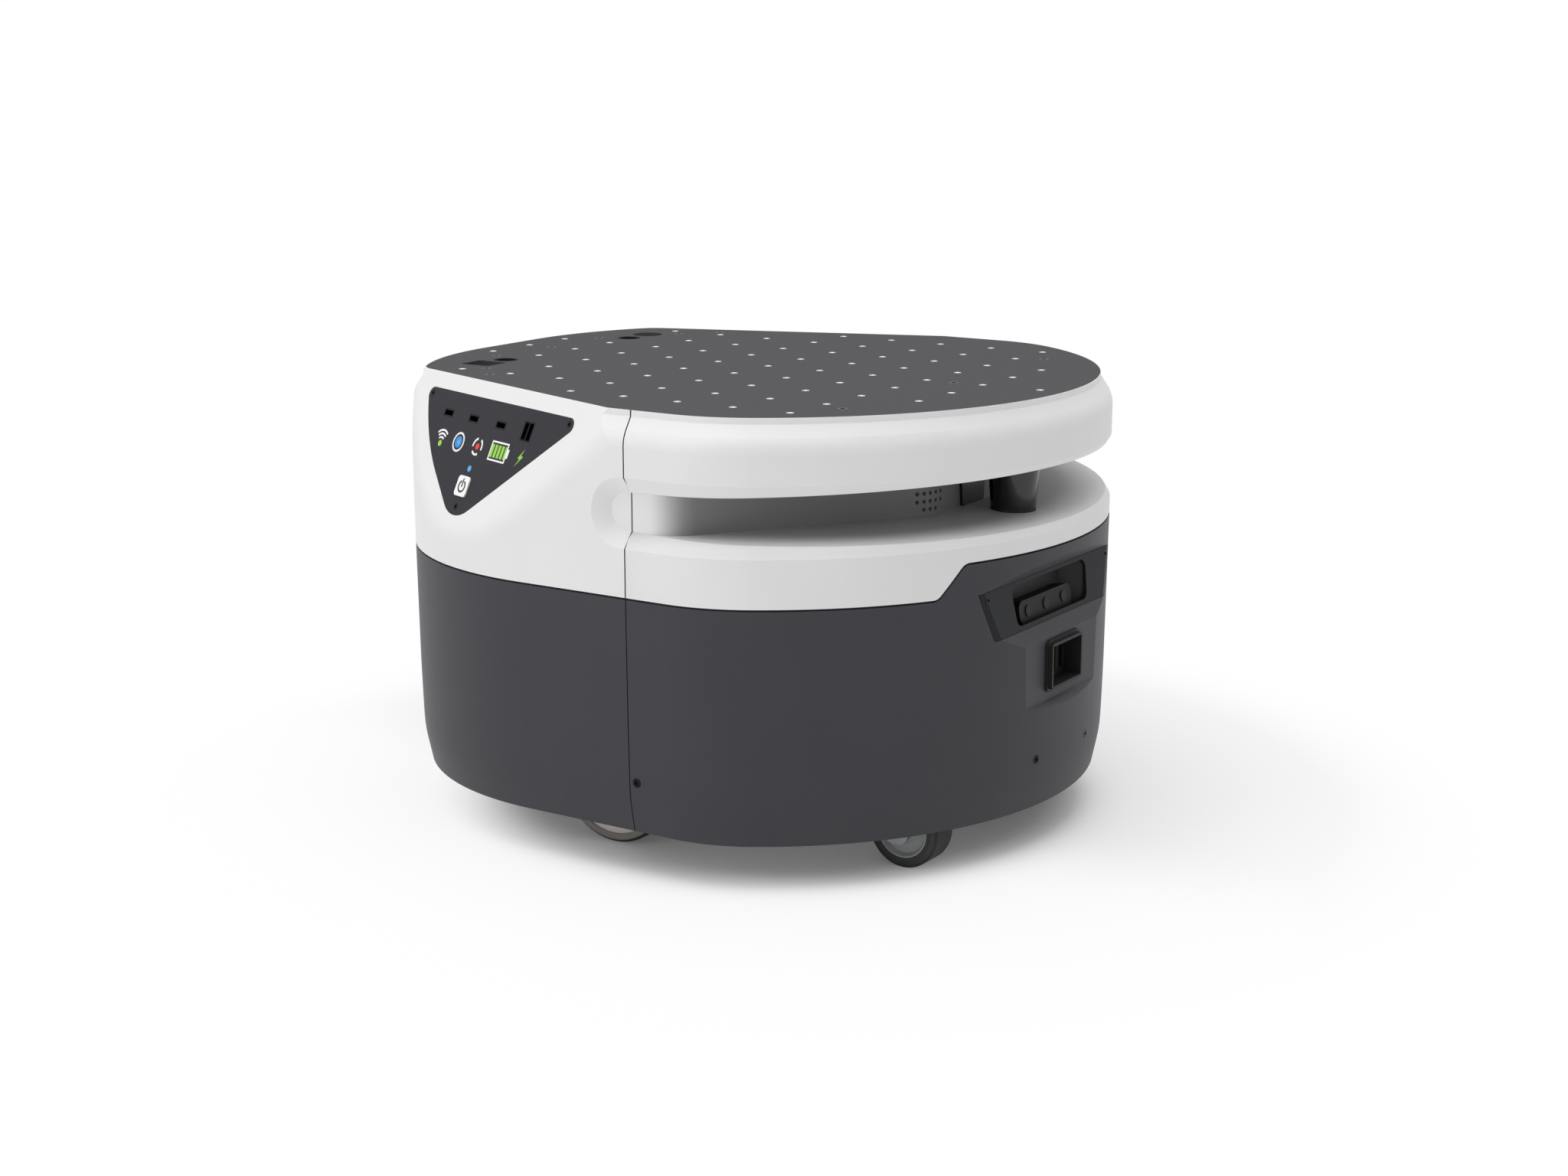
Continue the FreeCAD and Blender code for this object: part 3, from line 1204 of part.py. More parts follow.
def lidar_mirror():
    """Turning drum with a face cut at 45 degrees."""
    foot = "scanner_seat + scanner_base + spindle_height - spindle_reach + fit_gap"
    body = new_body("lidar_mirror")
    round_part(body, "Additive", "drum", ("scanner_x", "0", foot), "mirror_radius",
               "mirror_height")
    round_part(body, "Subtractive", "drum_bore", ("scanner_x", "0", foot),
               "spindle_radius + running_gap", "spindle_reach + fit_gap")
    cut_block(body, "mirror_face", ("scanner_x", "-mirror_radius - 1",
                                    f"{foot} + mirror_height - mirror_radius"),
              ("60", "2 * mirror_radius + 2", "40"), Rotation(Vector(0, 1, 0), -45))
    return body


keep(lidar_base(), lidar_window(), lidar_mirror())

# ---------------------------------------------------------------- control panel

PORTS = [
    ("first_port", "slim_port_width", "slim_port_height"),
    ("second_port", "slim_port_width", "slim_port_height"),
    ("third_port", "slim_port_width", "slim_port_height"),
    ("network_port", "network_width", "network_height"),
]
# lamps: places forwards and up from the facet's datum
LAMPS = [("-209.3", "-52.5"), ("-182.5", "-47.9"), ("-153.6", "-47.7"), ("-154", "-66")]
BARS = [("-131.2 + 4.9 * " + str(step), "-47.6") for step in range(5)]


def port_hull(name, port, grow, inset, depth):
    """A block on the panel round one port, from inset below its face down to depth."""
    along, width, height = port
    corner = on_facet(-1, f"-{along} - {width} / 2 - ({grow})",
                      f"-port_row - {height} / 2 - ({grow})", f"-({depth})")
    size = (f"{width} + 2 * ({grow})", f"{height} + 2 * ({grow})", f"{depth} - ({inset})")
    return name, corner, size, facet_turn(-1)


def bar_hull(bar, grow, depth):
    corner = on_facet(-1, f"{bar[0]} - 1.7 - ({grow})", f"{bar[1]} - 5.2 - ({grow})", f"-({depth})")
    return corner, (f"3.4 + 2 * ({grow})", f"10.4 + 2 * ({grow})", depth), facet_turn(-1)


def control_panel():
    body = new_body("control_panel")
    drawing = tilted_sketch(body, "panel_outline", on_facet(-1), facet_turn(-1))
    outline(drawing, panel_corners())
    pad(body, drawing, "panel_wall", downwards=True)
    for port in PORTS:
        cut_block(body, *port_hull("port_hole", port, "thread_gap", "-1", "panel_wall + 1"))
    for along, up in LAMPS:
        round_part(body, "Subtractive", "lamp_hole", on_facet(-1, along, up),
                   "light_radius + light_gap", "panel_wall + 1", INTO_PANEL)
    for bar in BARS:
        cut_block(body, "bar_hole", *bar_hull(bar, "light_gap", "panel_wall + 1"))
    button = tilted_sketch(body, "button_hole", on_facet(-1), facet_turn(-1))
    outline(button, button_corners(), "button_gap")
    pocket(body, button, "panel_wall + 1")
    for place_ in panel_screw_places():
        round_part(body, "Subtractive", "head_seat", place_, "small_head + thread_gap",
                   "small_head_depth", INTO_PANEL)
        round_part(body, "Subtractive", "shank_hole", place_, "small_shank + thread_gap",
                   "panel_wall + 1", INTO_PANEL)
    return body


def button_corners():
    left, right = "-button_along - button_size / 2", "-button_along + button_size / 2"
    low, high = "-button_drop - button_size / 2", "-button_drop + button_size / 2"
    return [(left, low, "3"), (right, low, "3"), (right, high, "3"), (left, high, "3")]


def panel_screws():
    return group("panel_screws", *[
        screw("panel_screw", place_, INTO_PANEL, "small_head", "small_head_depth",
              "small_shank", "small_reach - small_head_depth")
        for place_ in panel_screw_places()])


def panel_ports():
    """Three slim sockets and a network socket with two bays, open at the panel's face."""
    pieces = []
    for port in PORTS:
        shell = block(*port_hull("port_shell", port, "0", "0", "socket_inside + socket_shell"))
        along, width, height = port
        hollow = port_hull("port_bay", port, "-socket_shell", "-1", "socket_inside")
        if along == "network_port":
            bay = f"({width} - 3 * socket_shell) / 2"
            bays = []
            for start in (f"-{along} - {width} / 2 + socket_shell",
                          f"-{along} + socket_shell / 2"):
                corner = on_facet(-1, start, f"-port_row - {height} / 2 + socket_shell",
                                  "-socket_inside")
                size = (bay, f"{height} - 2 * socket_shell", "socket_inside + 1")
                bays.append(block("network_bay", corner, size, facet_turn(-1)))
            pieces.append(minus("network_socket", shell, *bays))
        else:
            pieces.append(minus("slim_socket", shell, block(*hollow)))
    return group("panel_ports", *pieces)


def status_lights():
    lamps = [rod("lamp", on_facet(-1, along, up), "light_radius", "light_depth", INTO_PANEL)
             for along, up in LAMPS]
    bars = [block("lamp_bar", *bar_hull(bar, "0", "light_depth")) for bar in BARS]
    return group("status_lights", *lamps, *bars)


def power_button():
    """Square push-button that stands a little proud of the panel."""
    body = new_body("power_button")
    drawing = tilted_sketch(body, "button_outline", on_facet(-1, out="button_proud"),
                            facet_turn(-1))
    outline(drawing, button_corners())
    pad(body, drawing, "button_proud + button_depth", downwards=True)
    return body


def button_switch():
    """Switch housing behind the panel: the button slides into it."""
    size = f"button_size + 2 * (button_gap + switch_wall)"
    corner = on_facet(-1, f"-button_along - ({size}) / 2", f"-button_drop - ({size}) / 2",
                      "-panel_wall - switch_depth")
    shell = block("switch_shell", corner, (size, size, "switch_depth"), facet_turn(-1))
    inner = "button_size + 2 * button_gap"
    corner = on_facet(-1, f"-button_along - ({inner}) / 2", f"-button_drop - ({inner}) / 2",
                      "-panel_wall - switch_depth + switch_wall")
    hollow = block("switch_hollow", corner, (inner, inner, "switch_depth"), facet_turn(-1))
    return minus("button_switch", shell, hollow)


keep(control_panel(), panel_screws(), panel_ports(), status_lights(), power_button(),
     button_switch())

# ---------------------------------------------------------------- chassis and what it carries

FLOOR = "(chassis_bottom + chassis_wall)"


def chassis_plate():
    body = new_body("chassis_plate")
    drawing = new_sketch(body, "chassis_outline", lift="chassis_bottom")
    plan(drawing, "chassis_out")
    pad(body, drawing, "chassis_wall")
    for side in SIDES.values():
        well = new_sketch(body, "wheel_well", lift=FLOOR)
        middle = f"{side} * (drive_face - drive_width / 2)"
        ends = ("-drive_x - well_length / 2", "-drive_x + well_length / 2")
        near, far = f"{middle} - well_width / 2", f"{middle} + well_width / 2"
        outline(well, [(ends[0], near, "inner_round"), (ends[1], near, "inner_round"),
                       (ends[1], far, "inner_round"), (ends[0], far, "inner_round")])
        pocket(body, well, "chassis_wall + 1")
    pins = new_sketch(body, "pin_holes", lift=FLOOR)
    circles(pins, [(x, y, "caster_pin + running_gap") for x, y in SWIVELS.values()])
    pocket(body, pins, "chassis_wall + 1")
    for base, turn in skirt_screw_places():
        round_part(body, "Subtractive", "skirt_thread", base, "skirt_shank + thread_gap",
                   "skirt_reach + 1", turn)
    return body


SWIVELS = {
    "front_left": ("front_caster_x", "front_caster_y"),
    "front_right": ("front_caster_x", "-front_caster_y"),
    "rear_left": ("-rear_caster_x", "rear_caster_y"),
    "rear_right": ("-rear_caster_x", "-rear_caster_y"),
}


def caster_plates():
    """Square plates under the chassis that guide the casters' pins."""
    plates = []
    for name, (x, y) in SWIVELS.items():
        plate = block("caster_plate_blank", (f"{x} - plate_half", f"{y} - plate_half",
                                             "chassis_bottom - caster_plate"),
                      ("2 * plate_half", "2 * plate_half", "caster_plate"))
        bore = rod("caster_plate_bore", (x, y, "chassis_bottom - caster_plate - 1"),
                   "caster_pin + running_gap", "caster_plate + 2")
        plates.append(minus("caster_plate", plate, bore))
    return group("caster_plates", *plates)


def battery():
    corner = ("-battery_rear", "-battery_width / 2", FLOOR)
    size = ("battery_length", "battery_width", "tray_height")
    shell = block("tray_blank", corner, size)
    inner = ("-battery_rear + tray_wall", "-battery_width / 2 + tray_wall", f"{FLOOR} + tray_wall")
    room = ("battery_length - 2 * tray_wall", "battery_width - 2 * tray_wall")
    tray = minus("battery_tray", shell, block("tray_room", inner, room + ("tray_height",)))
    gap = "(tray_wall + fit_gap)"
    corner = (f"-battery_rear + {gap}", f"-battery_width / 2 + {gap}", f"{FLOOR} + tray_wall")
    pack = block("battery_pack", corner, (f"battery_length - 2 * {gap}",
                                          f"battery_width - 2 * {gap}", "battery_height"))
    return tray, pack


def computer_box():
    """Finned computer housing."""
    body = new_body("computer_box")
    box = body.newObject("PartDesign::AdditiveBox", "computer_case")
    size = ("computer_length", "computer_width", "computer_height + fin_height")
    for prop, text in zip(("Length", "Width", "Height"), size):
        tie(box, prop, text)
    place(box, ("computer_rear", "-computer_width / 2", FLOOR))
    doc.recompute()
    channels = int((calc("computer_width") - calc("fin_wall")) // calc("fin_pitch"))
    for k in range(channels):
        y = f"-computer_width / 2 + fin_wall + {k} * fin_pitch"
        cut_block(body, "fin_channel", ("computer_rear - 1", y, f"{FLOOR} + computer_height"),
                  ("computer_length + 2", "fin_pitch - fin_wall", "fin_height + 1"))
    return body


def motor_controller():
    corner = ("-driver_rear", "-driver_width / 2", FLOOR)
    return block("motor_controller", corner, ("driver_length", "driver_width",
                                              "driver_height"))


keep(chassis_plate(), caster_plates(), *battery(), computer_box(), motor_controller())

# ---------------------------------------------------------------- drive wheels


def sideways(body, side, x, y, z):
    """Turn a body's own X axis outwards to one side of the robot and put it in place."""
    return place(body, (x, y, z), Rotation(Vector(0, 0, 1), 90 * side))


def drive_unit(name, side):
    """Gearmotor, bracket, hub with its shaft, and tyre on one side."""
    middle = f"{side} * (drive_face - drive_width / 2)"
    half = "drive_width / 2"
    inside = "drive_face - drive_width / 2 - bracket_face"
    motor_face = f"({inside} + bracket_wall)"
    hub = revolve("drive_hub_" + name, [
        (f"-({motor_face} + shaft_seat)", "0"), (f"{half} - 3", "0"), (f"{half} - 3", "12"),
        (f"{half} - 7", "14"), (f"{half} - 7", "drive_hub - 9"),
        (f"{half} - 1.5", "drive_hub - 5"), (f"{half} - 1.5", "drive_hub"),
        (f"1.5 - {half}", "drive_hub"), (f"1.5 - {half}", "drive_shaft"),
        (f"-({motor_face} + shaft_seat)", "drive_shaft")])
    tyre = revolve("drive_tyre_" + name, [
        (f"-{half}", "drive_hub"), (half, "drive_hub"), (half, "drive_radius - 3"),
        (f"{half} - 3", "drive_radius"), (f"3 - {half}", "drive_radius"),
        (f"-{half}", "drive_radius - 3")])
    gearbox, encoder = "-gearbox_length", "-gearbox_length - motor_length"
    bore = "drive_shaft + running_gap"
    motor = revolve("drive_motor_" + name, [
        ("0", bore), ("0", "motor_radius"), (gearbox, "motor_radius"),
        (gearbox, "motor_radius - 1.5"), (encoder, "motor_radius - 1.5"),
        (encoder, "motor_radius - 5"), (f"{encoder} - encoder_length", "motor_radius - 5"),
        (f"{encoder} - encoder_length", "0"), ("-shaft_seat - 1", "0"),
        ("-shaft_seat - 1", bore)])
    bracket = new_body("motor_bracket_" + name)
    drawing = new_sketch(bracket, "bracket_outline_" + name, "YZ_Plane")
    outline(drawing, [("-bracket_half", "chassis_bottom - drive_radius"),
                      ("-bracket_half", "bracket_low - drive_radius", "12"),
                      ("bracket_half", "bracket_low - drive_radius", "12"),
                      ("bracket_half", "chassis_bottom - drive_radius")])
    pad(bracket, drawing, "bracket_wall")
    hole = new_sketch(bracket, "bracket_hole_" + name, "YZ_Plane", "bracket_wall")
    circles(hole, [("0", "0", "drive_shaft + 1")])
    pocket(bracket, hole, "bracket_wall + 1")
    for body, y in ((hub, middle), (tyre, middle),
                    (motor, f"{side} * (bracket_face - bracket_wall)"),
                    (bracket, f"{side} * (bracket_face - bracket_wall)")):
        sideways(body, side, "-drive_x", y, "drive_radius")
    return hub, tyre, motor, bracket


for side_name, side_sign in SIDES.items():
    keep(*drive_unit(side_name, side_sign))

# ---------------------------------------------------------------- casters

CROWN_TOP = "chassis_bottom - caster_plate - crown_gap"
INNER_LEG = "(caster_width / 2 + leg_gap)"


def caster(name, x, y):
    """Fork with its swivel pin, wheel, tyre and axle."""
    wheel_x = f"{x} + caster_trail"
    outer_leg = f"({INNER_LEG} + caster_leg)"
    fork = new_body("caster_fork_" + name)
    drawing = new_sketch(fork, "fork_side_" + name, "XZ_Plane")
    reach = "(boss_end + 0.2)"
    outline(drawing, [
        ("-crown_radius * 0.6", CROWN_TOP), ("-crown_radius * 0.6", "crown_low - 4"),
        (f"caster_trail - {reach}", "caster_radius - boss_end", "boss_end"),
        (f"caster_trail + {reach}", "caster_radius - boss_end", "boss_end"),
        (f"caster_trail + {reach}", "caster_radius + 8", "boss_end"),
        ("crown_radius * 0.9", CROWN_TOP)])
    pad(fork, drawing, f"2 * {outer_leg}", both_ways=True)
    cut_block(fork, "fork_gap_" + name, ("-60", f"-{INNER_LEG}", "-10"),
              ("140", f"2 * {INNER_LEG}", "crown_low + 10"))
    round_part(fork, "Additive", "fork_crown_" + name, ("0", "0", "crown_low"),
               "crown_radius", f"{CROWN_TOP} - crown_low")
    round_part(fork, "Additive", "fork_pin_" + name, ("0", "0", "crown_low"), "caster_pin",
               f"{FLOOR} + fit_gap + nut_height - crown_low")
    round_part(fork, "Additive", "fork_nut_" + name, ("0", "0", f"{FLOOR} + fit_gap"),
               "caster_nut", "nut_height")
    round_part(fork, "Subtractive", "fork_bore_" + name,
               ("caster_trail", f"-{outer_leg} - 1", "caster_radius"), "caster_axle",
               f"2 * {outer_leg} + 2", ALONG_Y)
    place(fork, (x, y, "0"))
    axle = rod("caster_axle_" + name, (wheel_x, f"{y} - {outer_leg}", "caster_radius"),
               "caster_axle", f"2 * {outer_leg}", ALONG_Y)
    half = "caster_width / 2"
    bore = "caster_axle + running_gap"
    wheel = revolve("caster_wheel_" + name, [
        (f"-{half}", bore), (half, bore), (half, "9"), (f"{half} - 5", "11"),
        (f"{half} - 5", "caster_hub - 3"), (f"{half} - 1", "caster_hub - 1"),
        (f"{half} - 1", "caster_hub"), (f"1 - {half}", "caster_hub"),
        (f"1 - {half}", "caster_hub - 1"), (f"5 - {half}", "caster_hub - 3"),
        (f"5 - {half}", "11"), (f"-{half}", "9")])
    tyre = revolve("caster_tyre_" + name, [
        (f"1 - {half}", "caster_hub"), (f"{half} - 1", "caster_hub"),
        (f"{half} - 1", "caster_radius - 5"), (f"{half} - 3.5", "caster_radius"),
        (f"3.5 - {half}", "caster_radius"), (f"1 - {half}", "caster_radius - 5")])
    for body in (wheel, tyre):
        sideways(body, 1, wheel_x, y, "caster_radius")
    return fork, axle, wheel, tyre


for caster_name, (swivel_x, swivel_y) in SWIVELS.items():
    keep(*caster(caster_name, swivel_x, swivel_y))

# ---------------------------------------------------------------- checks and export

doc.recompute()
for thing in doc.Objects:
    if "Invalid" in thing.State or "Error" in thing.State:
        raise RuntimeError(f"{thing.Name} failed: {thing.State}")
for node in nodes:
    if node.Shape.isNull() or not node.Shape.isValid():
        raise RuntimeError(f"{node.Label} has no valid shape")
for node in nodes:
    node.Shape.exportStep(f"parts/{node.Label}.step")
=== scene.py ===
import json
from math import cos, pi, radians, sin

import bmesh
import bpy
from mathutils import Matrix, Vector


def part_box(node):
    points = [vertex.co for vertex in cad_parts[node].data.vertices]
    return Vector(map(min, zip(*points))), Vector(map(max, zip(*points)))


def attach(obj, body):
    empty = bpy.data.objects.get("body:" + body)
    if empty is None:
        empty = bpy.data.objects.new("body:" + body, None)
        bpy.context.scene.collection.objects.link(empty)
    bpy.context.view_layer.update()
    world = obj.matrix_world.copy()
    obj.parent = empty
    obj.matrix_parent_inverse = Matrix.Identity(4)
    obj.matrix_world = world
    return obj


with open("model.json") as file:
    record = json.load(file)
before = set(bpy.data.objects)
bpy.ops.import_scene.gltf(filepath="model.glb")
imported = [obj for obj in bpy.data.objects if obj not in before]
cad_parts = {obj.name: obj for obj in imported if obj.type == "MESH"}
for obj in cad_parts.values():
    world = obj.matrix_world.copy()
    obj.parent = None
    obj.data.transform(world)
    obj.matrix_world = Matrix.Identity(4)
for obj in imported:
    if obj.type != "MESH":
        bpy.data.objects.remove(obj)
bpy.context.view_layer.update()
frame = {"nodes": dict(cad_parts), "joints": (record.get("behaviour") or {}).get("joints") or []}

# ---- view and studio ----
# A long lens a little above the deck looks at the front right of the robot, which stands
# on a white studio floor that runs up into a white background.
camera = bpy.data.objects.new("camera", bpy.data.cameras.new("camera"))
camera.data.lens, camera.data.sensor_width = 56.5, 36
camera.data.clip_end = 50
camera.location = (1.1044, -1.6845, 0.6348)
heading, dip = radians(122.880), radians(12.953)
sight = Vector((cos(heading) * cos(dip), sin(heading) * cos(dip), -sin(dip)))
camera.rotation_euler = sight.to_track_quat("-Z", "Y").to_euler()
bpy.context.collection.objects.link(camera)
bpy.context.scene.camera = camera
bpy.context.scene.view_settings.view_transform = "Standard"


def linear(code):
    """The linear value of an sRGB colour such as #A0B0C0, which is what a shader reads."""
    shares = [int(code[k:k + 2], 16) / 255 for k in (1, 3, 5)]
    return [s / 12.92 if s <= 0.04045 else ((s + 0.055) / 1.055) ** 2.4 for s in shares] + [1]


def add(tree, kind, sockets=(), **settings):
    """Adds a shader node with its settings, and with its sockets, each a value or another
    node's output."""
    node = tree.nodes.new("ShaderNode" + kind)
    for name, value in settings.items():
        setattr(node, name, value)
    for name, value in dict(sockets).items():
        if isinstance(value, bpy.types.NodeSocket):
            tree.links.new(value, node.inputs[name])
        else:
            node.inputs[name].default_value = value
    return node


def direct_rays(tree):
    """One for rays from the camera and for those that gloss or glass sends on."""
    rays = add(tree, "LightPath").outputs
    found = rays["Is Camera Ray"]
    for kind in ("Is Glossy Ray", "Is Transmission Ray"):
        found = add(tree, "Math", {0: found, 1: rays[kind]}, operation="MAXIMUM").outputs[0]
    return found


world = bpy.data.worlds.new("studio")
world.use_nodes = True
world.node_tree.nodes.clear()
bpy.context.scene.world = world
fill = add(world.node_tree, "Background", {"Color": linear("#FFFFFF"), "Strength": 0.44})
white = add(world.node_tree, "Background", {"Color": (1, 1, 1, 1), "Strength": 1})
sky = add(world.node_tree, "MixShader", {0: direct_rays(world.node_tree), 1: fill.outputs[0],
                                         2: white.outputs[0]})
add(world.node_tree, "OutputWorld", {"Surface": sky.outputs[0]})


def empty_material(name):
    """A material with no nodes yet, and its tree."""
    finish = bpy.data.materials.new(name)
    finish.use_nodes = True
    finish.node_tree.nodes.clear()
    return finish, finish.node_tree


# The floor is white paper: it glows white far out, and near the robot it is matt pale grey, on
# which the robot's real shadow falls. Where the glow fades in round the robot it paints the
# shadow's outline, a painted shadow that is short on the lit right and fades slowly on the left.
# From below the floor is left out, which shows the underside.
shadow_middle = (0.02, 0, 0)
paper, tree = empty_material("white_floor_paper")
spot = add(tree, "TexCoord").outputs["Object"]
far_off = add(tree, "VectorMath", {0: spot, 1: shadow_middle}, operation="DISTANCE")
across = add(tree, "SeparateXYZ", {"Vector": spot})
# painted shadow: less glow on the left of the robot, so that its shadow reaches further there
side_shade = add(tree, "MapRange", {"Value": across.outputs["Y"], "From Min": -0.13,
                                    "From Max": 0.06, "To Min": 1.0, "To Max": 0.6},
                 interpolation_type="SMOOTHERSTEP")
close_light = add(tree, "MapRange", {"Value": far_off.outputs["Value"], "From Min": 0.2,
                                     "From Max": 0.3, "To Min": 0.08, "To Max": 0.82},
                  interpolation_type="SMOOTHERSTEP")
wide_light = add(tree, "MapRange", {"Value": far_off.outputs["Value"], "From Min": 0.3,
                                    "From Max": 0.62, "To Min": 0.0, "To Max": 1.0},
                 interpolation_type="SMOOTHERSTEP")
shaded = add(tree, "Math", {0: close_light.outputs[0], 1: side_shade.outputs[0]},
             operation="MULTIPLY")
lit = add(tree, "Math", {0: shaded.outputs[0], 1: wide_light.outputs[0]}, operation="MAXIMUM")
seen = add(tree, "Math", {0: direct_rays(tree), 1: lit.outputs[0]}, operation="MULTIPLY")
matt = add(tree, "BsdfDiffuse", {"Color": linear("#F6F6F6")})
glow = add(tree, "Emission", {"Color": (1, 1, 1, 1), "Strength": 1})
cover = add(tree, "MixShader", {0: seen.outputs[0], 1: matt.outputs[0], 2: glow.outputs[0]})
clear = add(tree, "BsdfTransparent", {"Color": (1, 1, 1, 1)})
cover = add(tree, "MixShader", {0: add(tree, "NewGeometry").outputs["Backfacing"],
                                1: cover.outputs[0], 2: clear.outputs[0]})
add(tree, "OutputMaterial", {"Surface": cover.outputs[0]})
shape = bmesh.new()
bmesh.ops.create_circle(shape, cap_ends=True, segments=64, radius=9)
floor = bpy.data.objects.new("floor", bpy.data.meshes.new("floor"))
shape.to_mesh(floor.data)
shape.free()
floor.data.materials.append(paper)
bpy.context.collection.objects.link(floor)

# A wide soft box overhead, a softer one from the left of the view and a weak one by the nose.
body_middle = Vector((0, 0, 0.15))
for name, place, size, watts in (("overhead", (0.0, -0.3, 2.8), 3.2, 58),
                                 ("left", (-1.3, -2.6, 1.2), 1.8, 17),
                                 ("nose", (2.4, -0.4, 1.0), 1.4, 1)):
    lamp = bpy.data.objects.new("light_" + name, bpy.data.lights.new("light_" + name, "AREA"))
    lamp.data.shape, lamp.data.size, lamp.data.energy = "DISK", size, watts
    lamp.location = place
    lamp.rotation_euler = (body_middle - lamp.location).to_track_quat("-Z", "Y").to_euler()
    bpy.context.collection.objects.link(lamp)

# ---- white covers ----
# The rear cover, the brim over the slot and the ledge under it are injection-moulded ABS,
# 3 mm thick, with the fine satin grain of a spark-eroded mould. The real grain is 0.3 mm;
# it is drawn at 1 mm so that it shows.
mm = 0.001
nodes = frame["nodes"]
# a Mix node's sockets for its two colours, and for the colour it gives
colour_a, colour_b, mixed_colour = 6, 7, 2


def wear(finish, *names):
    """Gives a finish to CAD nodes."""
    for name in names:
        nodes[name].material_slots[0].material = finish


def moulded(name, dark, light, roughness, grain, depth, gleam=0.5):
    """Moulded plastic: a base colour that drifts between two shades over a grain, whose size
    and depth are in mm. Coarser moulds give less gleam."""
    finish, tree = empty_material(name)
    place = add(tree, "TexCoord").outputs["Object"]
    pits = add(tree, "TexNoise", {"Vector": place, "Scale": 1000 / grain, "Detail": 3})
    cloud = add(tree, "TexNoise", {"Vector": place, "Scale": 16, "Detail": 2})
    tint = add(tree, "Mix", {"Factor": cloud.outputs["Fac"], colour_a: linear(dark),
                             colour_b: linear(light)}, data_type="RGBA")
    gloss = add(tree, "MapRange", {"Value": pits.outputs["Fac"], "From Min": 0.3,
                                   "From Max": 0.7, "To Min": roughness - 0.04,
                                   "To Max": roughness + 0.04})
    bump = add(tree, "Bump", {"Height": pits.outputs["Fac"], "Strength": 0.12,
                              "Distance": depth * mm})
    shader = add(tree, "BsdfPrincipled", {"Base Color": tint.outputs[mixed_colour],
                                          "IOR": 1.53, "Roughness": gloss.outputs["Result"],
                                          "Specular IOR Level": gleam,
                                          "Normal": bump.outputs["Normal"]})
    add(tree, "OutputMaterial", {"Surface": shader.outputs[0]})
    return finish


def retint(finish, factor, colour):
    """Mixes another colour over a finish's own by a factor that factor(tree) sets up."""
    tree = finish.node_tree
    shader = next(node for node in tree.nodes if node.type == "BSDF_PRINCIPLED")
    bare = shader.inputs["Base Color"].links[0].from_socket
    tint = add(tree, "Mix", {"Factor": factor(tree), colour_a: bare,
                             colour_b: linear(colour)}, data_type="RGBA")
    tree.links.new(tint.outputs[mixed_colour], shader.inputs["Base Color"])
    return finish


def at_seam(tree):
    """One on the faces that meet at the seam, and just over their edges."""
    run = add(tree, "SeparateXYZ", {"Vector": add(tree, "TexCoord").outputs["Object"]})
    return add(tree, "Math", {0: run.outputs["X"], 1: seam, 2: seam_half + 0.1 * mm},
               operation="COMPARE").outputs[0]


# A grey line of painted shade lines both faces of the seam gap between the rear and the front
# covers, and just over their edges.
seam_painted_shade = "#5E5E5E"
seam_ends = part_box("rear_upper_cover")[1].x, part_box("front_brim")[0].x
seam, seam_half = sum(seam_ends) / 2, (seam_ends[1] - seam_ends[0]) / 2
white_abs = moulded("white_abs_satin", "#E3E3E3", "#E9E9E9", roughness=0.46, grain=1.0,
                    depth=0.05)
wear(retint(white_abs, at_seam, seam_painted_shade), "rear_upper_cover", "front_brim")

# ---- slot ----
# The wall behind the slot and the ledge in front of it are the same white ABS, with painted grey
# shade where the slot is deep. It covers the wall from a little way past the seam, and thins out
# over the slot's floor towards the rim.


def painted_slot_shade(name, roughness, shade, axes, centre, bare_at, full_at):
    """The covers' white with painted grey shade that sets in between two distances from a
    centre.
    """

    def fade(tree):
        flat = add(tree, "VectorMath", {0: add(tree, "TexCoord").outputs["Object"], 1: axes},
                   operation="MULTIPLY")
        reach = add(tree, "VectorMath", {0: flat.outputs[0], 1: centre}, operation="DISTANCE")
        return add(tree, "MapRange", {"Value": reach.outputs["Value"], "From Min": bare_at,
                                      "From Max": full_at},
                   interpolation_type="SMOOTHSTEP").outputs["Result"]

    finish = moulded(name, "#E3E3E3", "#E9E9E9", roughness, grain=1.0, depth=0.05, gleam=0.3)
    # painted shade at the seam, as on the covers
    return retint(retint(finish, fade, shade), at_seam, seam_painted_shade)


along_only, level_only = (1, 0, 0), (1, 1, 0)
# painted shade on the wall behind the slot, from a little past the seam
wear(painted_slot_shade("white_abs_painted_slot_wall_shade", 0.5, "#848484", along_only, centre=(0, 0, 0),
               bare_at=0.06, full_at=0.09), "slot_wall")
# painted shade over the slot's floor, darker deeper in towards the wall
wear(painted_slot_shade("white_abs_painted_slot_floor_shade", 0.46, "#9E9E9E", level_only, centre=(-0.005, 0, 0),
               bare_at=0.272, full_at=0.24), "front_ledge_cover")

# ---- dark skirts ----
# The two lower shells are moulded in the same way as the covers, in graphite ABS with a
# softer sheen, and are screwed to the chassis from outside.
graphite_abs = moulded("graphite_abs_satin", "#3B3B40", "#3F3F44", roughness=0.5, grain=1.0,
                       depth=0.05, gleam=0.22)
wear(graphite_abs, "front_skirt", "rear_skirt")

